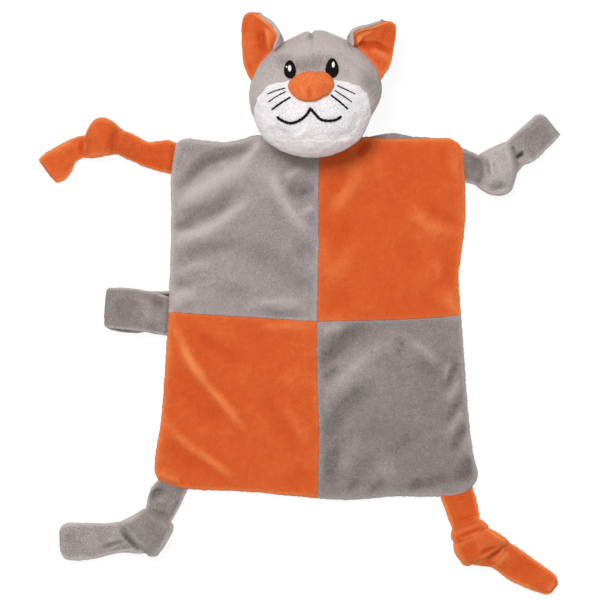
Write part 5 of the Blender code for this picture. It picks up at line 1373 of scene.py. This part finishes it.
def nose_part(outline_share, upper, lower, stops):
    """A domed part of the nose between two heights over the face, and its plan places."""
    middle, radius = nose_outline()
    u, v = disc_from_square(*np.meshgrid(stops, stops, indexing="ij"))
    reach, angle = np.hypot(u, v), np.arctan2(v, u)
    plan = middle + polar(reach * outline_share * radius(angle), angle)
    dome = np.sqrt(np.maximum(1 - (np.minimum(reach, 1.0) * outline_share) ** NOSE_FULLNESS, 0.0))
    return sheet_shape(on_face(plan, upper(dome, plan)), on_face(plan, lower(dome, plan))), plan


def build_nose():
    def inside(dome, plan):
        return np.maximum(NOSE_RISE * dome - CLOTH / 2, 0.0)

    def outside(dome, plan):
        return GAP + NOSE_EDGE * np.sqrt(dome) + NOSE_RISE * dome + fold_height(plan, NOSE_FOLDS) * dome

    stops = np.sin(np.linspace(-math.pi / 2, math.pi / 2, NOSE_POINTS))
    shape, plan = nose_part(1.0, outside, lambda dome, plan: GAP + inside(dome, plan), stops)
    # Painted light on the nose, with painted light and shade along its folds
    painted_shading = NOSE_PAINTED_LIGHT + NOSE_FOLD_PAINTED_SHADING_SHARE * fold_height(plan, NOSE_FOLDS) / FOLD_RISE
    piece = add_piece("nose_cover_cloth", shape, "orange_nose", NOSE_CLUMPS, np.tile(painted_shading.ravel(), 2))
    ride(piece, "nose_cover", "head")
    stops = np.linspace(-1.0, 1.0, NOSE_FILLING_POINTS)
    shape, plan = nose_part(NOSE_FILLING_SHARE, inside, lambda dome, plan: GAP, stops)
    piece = add_piece("nose_filling_fibre", shape, "stuffing_fibre")
    ride(piece, "nose_filling", "head")


def satin_oval(node, cloth, centre, half, base, thickness, point_share=0.0):
    """Rows of satin stitches that fill an oval on the face."""
    nose_middle, nose_radius = nose_outline()
    rows = np.linspace(-1.0, 1.0, int(2 * half[1] * PIXEL / THREAD_PITCH * STITCH_ROWS))
    columns = np.linspace(-1.0, 1.0, OVAL_COLUMNS)
    u, v = disc_from_square(*np.meshgrid(columns, rows, indexing="ij"))
    plan = place(centre) + np.stack([u * half[0] * (1 - point_share * v), v * half[1]], axis=-1) * PIXEL
    crown = np.sqrt(np.maximum(1 - (u * u + v * v), 0.0))
    stitches = np.abs(np.cos(math.pi * (v * half[1] * PIXEL - u * THREAD_PITCH) / THREAD_PITCH))
    rise = (thickness * grown(OVAL_RIM_SHARE, crown)
            + THREAD_RIDGE * stitches * grown(RIDGE_RIM_SHARE, crown))
    spoke = plan - nose_middle
    clear = np.hypot(spoke[..., 0], spoke[..., 1]) - nose_radius(np.arctan2(spoke[..., 1], spoke[..., 0]))
    shows = smoothstep(clear / STITCH_ROOT)
    shape = sheet_shape(on_face(plan, (base + rise) * shows + LEAST_STITCH),
                        on_face(plan, (base - STITCH_ROOT) * shows))
    ride(add_piece(node + "_stitches", shape, cloth), node, "head")


def thread_line(node, curves, radius):
    """A line of stitches: a twisted thread, drawn in where each stitch ends."""
    plans = []
    for pixels in curves:
        count = max(round(lengths_along(place(pixels))[-1] / THREAD_STEP), 2)
        plan = smooth_curve(place(pixels))(np.linspace(0.0, 1.0, count))
        plans.append(plan[1:] if plans else plan)
    plan = np.concatenate(plans)
    far = lengths_along(plan)
    pinch = np.sqrt(np.abs(np.sin(math.pi * far / STITCH_LENGTH)))
    end = np.minimum(far, far[-1] - far)
    thick = (radius * grown(STITCH_END_SHARE, pinch)
             * np.sqrt(np.clip(end / radius, THREAD_END_SHARE, 1.0)))
    points = on_face(plan, radius * THREAD_LIFT_SHARE)
    along = unit(np.gradient(points, axis=0))
    side = unit(np.cross(along, [0.0, 0.0, 1.0]))
    up = np.cross(side, along)
    turns = np.arange(THREAD_SIDES) / THREAD_SIDES * math.tau
    twist = far[:, None] / STITCH_LENGTH * math.pi
    rope = thick[:, None] * (1 + STRAND_RISE_SHARE * np.cos(THREAD_STRANDS * (turns - twist)))
    rings = points[:, None, :] + rope[..., None] * (
        side[:, None, :] * np.cos(turns)[:, None] + up[:, None, :] * np.sin(turns)[:, None])
    ride(add_piece(node + "_stitches", tube_shape(rings), "black_thread"), node, "head")


def build_embroidery():
    for node, centre, half in EYES:
        satin_oval(node, "black_thread", centre, half, GAP, EYE_THICKNESS, EYE_POINT_SHARE)
    for node, centre, half in HIGHLIGHTS:
        satin_oval(node, "white_thread", centre, half, GAP + EYE_THICKNESS, EYE_THICKNESS / 2)
    thread_line("mouth", MOUTH_PIXELS, MOUTH_RADIUS)
    for node, pixels in WHISKER_PIXELS.items():
        share = 1.0 if node.endswith("bottom") else THIN_SHARE
        thread_line(node, [pixels], WHISKER_RADIUS * share)


# Ears

def ear_outline(pixels):
    """The ear laid flat, from its root on the head's rim: its surface, width and length."""
    start, end = rim_angle(pixels["outer"][0]), rim_angle(pixels["inner"][0])
    if abs(end - start) > math.pi:
        end += math.tau if end < start else -math.tau

    def root(share):
        angle = start + (end - start) * np.asarray(share, float)
        return head_middle + polar(head_radius(angle) - EAR_SEWN_IN, angle)

    outer = smooth_curve(np.concatenate([[root(0.0)], place(pixels["outer"][1:])]))
    inner = smooth_curve(np.concatenate([[root(1.0)], place(pixels["inner"][1:])]))
    return coons_patch(root, smooth_curve(place(pixels["tip"])), outer, inner), chord(root), chord(outer)


def ear_surface(name, patch, s, t, back_layer):
    """The cupped surface between the ear's layers, its normals and the turn of its curled edge."""
    curl_share, root_turn, low_turn, tip_turn = EAR_CURLS[name]
    full_turn = low_turn + (tip_turn - low_turn) * t
    full_turn = full_turn + (root_turn - low_turn) * (1 - smoothstep(t / EAR_ROOT_CURL_SHARE))
    across = patch(np.ones(t.shape), t) - patch(np.zeros(t.shape), t)
    wide = np.linalg.norm(across, axis=-1)
    turn = np.maximum((s - (1 - curl_share)) / curl_share, 0.0) * full_turn
    share = np.minimum(s, 1 - curl_share) + curl_share * np.sin(turn) / full_turn
    reach = 1 - curl_share + curl_share / full_turn + back_layer / wide
    radius = curl_share * wide / full_turn / reach
    hollow = np.sin(math.pi * np.minimum(s / (1 - curl_share), 1.0)) ** 2
    cup = EAR_CUPS[name] * hollow * smoothstep(t / EAR_CUP_START_SHARE)
    surface = np.dstack([patch(share / reach, t), HEAD_LEVEL + radius * (1 - np.cos(turn)) - cup])
    return surface, np.dstack([-unit(across) * np.sin(turn)[..., None], np.cos(turn)]), turn


def build_ear(name):
    """Two layers of cloth whose crown-side edge curls up towards the face."""
    patch, width, length = ear_outline(EARS[name])
    s, t = np.meshgrid(close_stops(width, EAR_STEP), close_stops(length, EAR_STEP), indexing="ij")
    layer = EAR_CLOTH + EAR_LAYER_GAP / 2
    back_layer = layer * (1 - rolled((1 - t) * length, EAR_EDGE_ROLL))
    surface, normal, turn = ear_surface(name, patch, s, t, back_layer)
    relief = fold_height(surface[..., :2], EAR_FOLDS[name])
    nearest = np.minimum.reduce(margins(surface))
    plain = np.maximum(layer * (1 - rolled(nearest, EAR_EDGE_ROLL)), EAR_RIM_CLOTH)
    raised = relief * smoothstep(nearest / EAR_CLOTH) * np.maximum(np.cos(turn), 0.0)
    folded = np.maximum(plain + raised, EAR_RIM_CLOTH)
    # Painted sheen at the rim; on the front, painted light and shade along the folds and painted light on
    # the curl's shaded inner side
    painted_shading = EAR_TONE + EAR_RIM_PAINTED_SHEEN * (1 - smoothstep(nearest / RIM_SHEEN_WIDTH))
    front_painted_shading = painted_shading + EAR_FOLD_PAINTED_SHADING_SHARE * relief / FOLD_RISE + EAR_CURL_PAINTED_LIGHT * np.sin(turn) ** 2
    for side, cloth, outer, inner, tone in (
            ("front", "orange_plush", folded, EAR_MID_GAP, front_painted_shading),
            ("back", "grey_plush", -plain, -EAR_MID_GAP, painted_shading)):
        shape = sheet_shape(surface + normal * outer[..., None], surface + normal * inner)
        node = name + "_" + side
        piece = add_piece(node + "_cloth", shape, cloth, PILE_CLUMPS, np.tile(tone.ravel(), 2))
        bend(piece, node)


# Limbs

def middles_of(rows):
    return (rows[:, 0:2] + rows[:, 2:4]) / 2


def scale_levels(rows, share):
    middle, half = (rows[:, 4] + rows[:, 5]) / 2, (rows[:, 5] - rows[:, 4]) / 2 * share
    rows[:, 4], rows[:, 5] = middle - half, middle + half


def limb_rows(stations, roll=0.0):
    """Sections close together along a limb: two edges, lowest and highest level, and bow.

    Over a roll's length the sections close to nothing at both ends."""
    rows = np.array([[*a, *b, low, high, bow] for a, b, low, high, bow in stations])
    length = lengths_along(middles_of(rows))[-1]
    stops = close_stops(length, LIMB_STEP)
    rows = spline(rows, chord_stops(middles_of(rows)))(stops)
    if roll:
        for far in (stops * length, (1 - stops) * length):
            scale_levels(rows, 1 - rolled(far, roll))
    return rows


def limb_cloth(part):
    if part.startswith(ORANGE_LIMBS):
        return "orange_plush"
    return "grey_long_plush" if part in LONG_PILE_PARTS else "grey_plush"


def limb_piece(limb, part, rows, number=""):
    """A tube round the sections, with folds on its upper side and a seam along each edge."""
    a, b = rows[:, None, 0:2], rows[:, None, 2:4]
    low, high = np.maximum(rows[:, 4], 0.0)[:, None], rows[:, 5][:, None]
    angle = math.tau * np.arange(LIMB_RING_POINTS) / LIMB_RING_POINTS
    across = signed_power(np.cos(angle), LIMB_SIDE_POWER)[None, :]
    up = signed_power(np.sin(angle), LIMB_TOP_POWER)[None, :]
    onward = unit(np.gradient(middles_of(rows), axis=0))
    half = (a - b) / 2
    half_width = np.maximum(np.linalg.norm(half, axis=-1), SIDE_SEAM_DIP * 2)
    notch = SIDE_SEAM_DIP * np.exp(-(up / SIDE_SEAM_SHARE) ** 2) / half_width
    plan = (a + b) / 2 + half * (across * (1 - notch))[..., None]
    plan = plan + onward[:, None, :] * (rows[:, 6][:, None] * (1 - across ** 2))[..., None]
    folded = fold_height(plan, LIMB_FOLDS[limb])
    share = np.minimum((high - low) / STRAP_THICKNESS, 1.0)
    height = (low + high) / 2 + (high - low) / 2 * up + folded * share * np.sqrt(np.maximum(up, 0.0))
    # Painted sheen along the rims, and painted light and shade for the part and along its folds
    rim = smoothstep((np.abs(across) - LIMB_RIM_START_SHARE) / (1 - LIMB_RIM_START_SHARE))
    tone = LIMB_PAINTED_SHADING[limb][part]
    painted_shading = tone + LIMB_FOLD_PAINTED_SHADING_SHARE * folded / FOLD_RISE + LIMB_RIM_PAINTED_SHEEN * rim
    painted_shading = np.concatenate([painted_shading.ravel(), [tone, tone]])
    cloth = limb_cloth(limb + "_" + part)
    return add_piece(f"{limb}_{part}{number}_cloth", tube_shape(np.dstack([plan, height])), cloth,
                     LIMB_CLUMPS, painted_shading)


def build_strap(limb):
    """The strap from the blanket's seam, where it is pinched, up into its knot."""
    edges, half = place(LIMBS[limb]["strap"]), STRAP_THICKNESS / 2
    back = edges[0] - edges[1]
    back *= 2 * STRAP_SEWN_IN / np.linalg.norm(back.sum(axis=0))
    rows = limb_rows([(a, b, MID_LEVEL - half, MID_LEVEL + half * STRAP_CROWN_SHARE, 0.0)
                      for a, b in (edges[0] + back, *edges)])
    far = lengths_along(middles_of(rows))
    swell = smoothstep((far - STRAP_SEWN_IN) / STRAP_PINCH + STRAP_PINCH_START_SHARE)
    scale_levels(rows, grown(STRAP_PINCH_SHARE, swell))
    climb = smoothstep((far / far[-1] - CLIMB_START_SHARE) * CLIMB_RATE)
    rows[:, 5] += (LIMBS[limb]["climb_share"] * KNOT_HEIGHT - half) * climb
    bend(limb_piece(limb, "strap", rows), limb)


def build_knot(limb):
    for index, band in enumerate(LIMBS[limb]["bands"]):
        rows = limb_rows([(place(a), place(b), 0.0, KNOT_HEIGHT * share, bow * PIXEL)
                          for a, b, share, bow in band], BAND_ROLL)
        ride(limb_piece(limb, "knot", rows, f"_{index + 1}"), limb, limb)


def build_tail(limb):
    edges = LIMBS[limb]["tail"]
    lifts = [TAIL_LIFT * share for share in TAIL_SAG_SHARES] + [0.0] * len(edges)
    rows = limb_rows([(place(a), place(b), lift, lift + TAIL_THICKNESS, 0.0)
                      for (a, b), lift in zip(edges, lifts)], TAIL_THICKNESS / 2)
    tail = limb + "_tail"
    bend(limb_piece(limb, "tail", rows), tail)


# Carry loop

def arc(centre, radius, start, end, count):
    """Points round part of a circle, between two angles in degrees."""
    return np.array(centre) + polar(radius, np.radians(np.linspace(start, end, count)))


def loop_path():
    """Centre line of the folded strip in reach and height, round from the root and back."""
    half = LOOP_CLOTH / 2
    tight = half + LOOP_ROOT_GAP / 2
    wide = (LOOP_OPENING + LOOP_CLOTH) / 2
    end = LOOP_REACH - half - wide

    def run(shares, root_level, level, settle_share):
        settled = smoothstep(np.array(shares) / settle_share)
        return np.stack([end * np.array(shares), root_level * (1 - settled) + level * settled], axis=-1)

    root = arc((0.0, MID_LEVEL), tight, 90, 270, LOOP_ROOT_POINTS)
    root[:, 0] -= LOOP_SEWN_IN
    return np.concatenate([
        root, run(LOOP_LOWER_SHARES, MID_LEVEL - tight, half, LOOP_SETTLE_SHARE),
        arc((end, half + wide), wide, -90, 90, LOOP_FOLD_POINTS),
        run(LOOP_UPPER_SHARES, MID_LEVEL + tight, half + 2 * wide, LOOP_CLIMB_SHARE), root[:1]])


def upper_run_share(reach):
    """How far each ring belongs to the upper run: halfway at the far fold and at the root."""
    around = (np.arange(LOOP_RINGS) - np.argmin(reach)) % LOOP_RINGS
    past_fold = around - around[np.argmax(reach)]
    from_root = smoothstep(np.minimum(around, LOOP_RINGS - around) / LOOP_BEND_RINGS)
    return 0.5 + (smoothstep(0.5 + past_fold / LOOP_TURN_RINGS) - 0.5) * from_root


def build_loop():
    edge_pixels = LOOP_EDGE_PIXELS["upper"][0]
    hinge, away = hinge_of("carry_loop", edge_pixels[-1], edge_pixels[0])
    away = unit(away)
    outward, along = away[:2], np.array([away[1], -away[0]])
    path = smooth_curve(loop_path())(np.linspace(0.0, 1.0, LOOP_RINGS + 1))[:-1]
    upper_share = upper_run_share(path[:, 0])
    swell = grown(LOOP_PINCH_SHARE, smoothstep((path[:, 0] - LOOP_PINCH_START) / LOOP_PINCH))
    path[:, 1] = MID_LEVEL + (path[:, 1] - MID_LEVEL) * swell
    tangent = unit(np.roll(path, -1, axis=0) - np.roll(path, 1, axis=0))
    normal = np.column_stack([tangent[:, 1], -tangent[:, 0]])

    def edge(run, side):
        places = place(LOOP_EDGE_PIXELS[run][side]) - hinge[:2]
        reach, offset = places @ outward, places @ along
        order = np.argsort(reach)
        return np.interp(path[:, 0], reach[order], offset[order])

    far, near = (edge("lower", side) * (1 - upper_share) + edge("upper", side) * upper_share
                 for side in (0, 1))
    turns = math.tau * np.arange(LOOP_SIDES) / LOOP_SIDES
    sideways = signed_power(np.cos(turns), LOOP_EDGE_POWER)
    across = ((far + near) / 2)[:, None] + ((far - near) / 2)[:, None] * sideways
    up = signed_power(np.sin(turns), LOOP_SIDE_POWER) * (LOOP_CLOTH / 2 * swell)[:, None]
    reach = path[:, 0:1] + normal[:, 0:1] * up
    plan = hinge[:2] + outward * reach[..., None] + along * across[..., None]
    folded = fold_height(plan, LOOP_FOLDS) * (upper_share * swell)[:, None]
    shape = tube_shape(np.dstack([plan, path[:, 1:2] + normal[:, 1:2] * up + folded]), closed=True)
    # Painted sheen along the rims and painted shade on the loop's inside, which stops short of the outer
    # lip
    rim = smoothstep((np.abs(np.cos(turns)) - LIMB_RIM_START_SHARE) / (1 - LIMB_RIM_START_SHARE))
    lip = smoothstep((np.abs(sideways) - LOOP_LIP_SHARES[0]) / LOOP_LIP_SHARES[1])
    inside = smoothstep(-np.sin(turns) / LOOP_INSIDE_SHADE_SHARE) * (1 - lip)
    painted_shading = (LOOP_TONE + FOLD_PAINTED_SHADING_SHARE * folded / FOLD_RISE + LOOP_RIM_PAINTED_SHEEN * rim * (1 - inside)
           + LOOP_INSIDE_PAINTED_SHADE * inside)
    piece = add_piece("carry_loop_cloth", shape, "grey_plush", PILE_CLUMPS, painted_shading.ravel())
    bend(piece, "carry_loop")


# Floor, lights and camera

def seen_share(add, share):
    """A share where the camera, a mirror or glass sees the surface, and none elsewhere."""
    path = add("ShaderNodeLightPath")
    total = path.outputs["Is Camera Ray"]
    for other in ("Is Glossy Ray", "Is Transmission Ray"):
        total = add("ShaderNodeMath", {0: total, 1: path.outputs[other]}, operation="MAXIMUM").outputs[0]
    return add("ShaderNodeMath", {0: total, 1: share}, operation="MULTIPLY").outputs[0]


def build_floor():
    mesh = bpy.data.meshes.new("floor")
    half = FLOOR_SIZE / 2
    corners = [(-half, -half, 0), (half, -half, 0), (half, half, 0), (-half, half, 0)]
    mesh.from_pydata(corners, [], [(0, 1, 2, 3)])
    plane = new_object("floor", mesh)
    plane.location.z = FLOOR_LEVEL
    material, shader, add, join = new_material("floor_white")
    join(shader, {"Base Color": FLOOR_COLOUR, "Roughness": FLOOR_ROUGHNESS})
    glow = add("ShaderNodeEmission", {"Strength": FLOOR_GLOW})
    mix = add("ShaderNodeMixShader", {
        "Fac": seen_share(add, FLOOR_GLOW_SHARE), 1: shader.outputs["BSDF"], 2: glow.outputs["Emission"]})
    join(material.node_tree.nodes["Material Output"], {"Surface": mix.outputs["Shader"]})
    mesh.materials.append(material)
    return plane


def build_world():
    world = bpy.data.worlds.new("studio")
    world.use_nodes = True
    nodes = world.node_tree.nodes
    add, join = node_tools(world.node_tree)
    soft = join(nodes["Background"], {"Color": SOFT_LIGHT_COLOUR, "Strength": SOFT_LIGHT})
    seen = add("ShaderNodeBackground", {"Color": SEEN_COLOUR})
    mix = add("ShaderNodeMixShader", {"Fac": seen_share(add, 1.0), 1: soft.outputs[0], 2: seen.outputs[0]})
    join(nodes["World Output"], {"Surface": mix.outputs["Shader"]})
    bpy.context.scene.world = world


def area_light(name, position, size, power):
    light = bpy.data.lights.new(name, "AREA")
    light.shape = "SQUARE"
    light.size = size
    light.energy = power
    lamp = new_object(name, light)
    lamp.location = position
    lamp.rotation_mode = "QUATERNION"
    lamp.rotation_quaternion = (Vector(LIGHT_TARGET) - Vector(position)).to_track_quat("-Z", "Y")


def build_camera():
    camera = bpy.data.cameras.new("photo_camera")
    camera.sensor_width = SENSOR
    camera.lens = SENSOR * (CAMERA_HEIGHT - SUBJECT_LEVEL) / (PHOTO_SIZE_PIXELS * PIXEL)
    camera.clip_end = CAMERA_SIGHT
    eye = new_object("photo_camera", camera)
    eye.location = (*place((PHOTO_SIZE_PIXELS / 2, PHOTO_SIZE_PIXELS / 2)), CAMERA_HEIGHT)
    bpy.context.scene.camera = eye


cloths = {name: (plush(name, *look), slot) for name, (slot, *look) in PLUSHES.items()}
cloths.update({name: (thread(name, *look), name) for name, look in THREADS.items()})

floor = build_floor()
build_world()
for light, settings in LIGHTS.items():
    area_light(light, *settings)
build_camera()

build_blanket()
build_head()
build_stuffing()
build_nose()
build_embroidery()
for ear in EARS:
    build_ear(ear)
for limb_name in LIMBS:
    build_strap(limb_name)
    build_knot(limb_name)
    build_tail(limb_name)
build_loop()

bpy.context.view_layer.update()
bpy.context.scene.view_settings.view_transform = "Standard"
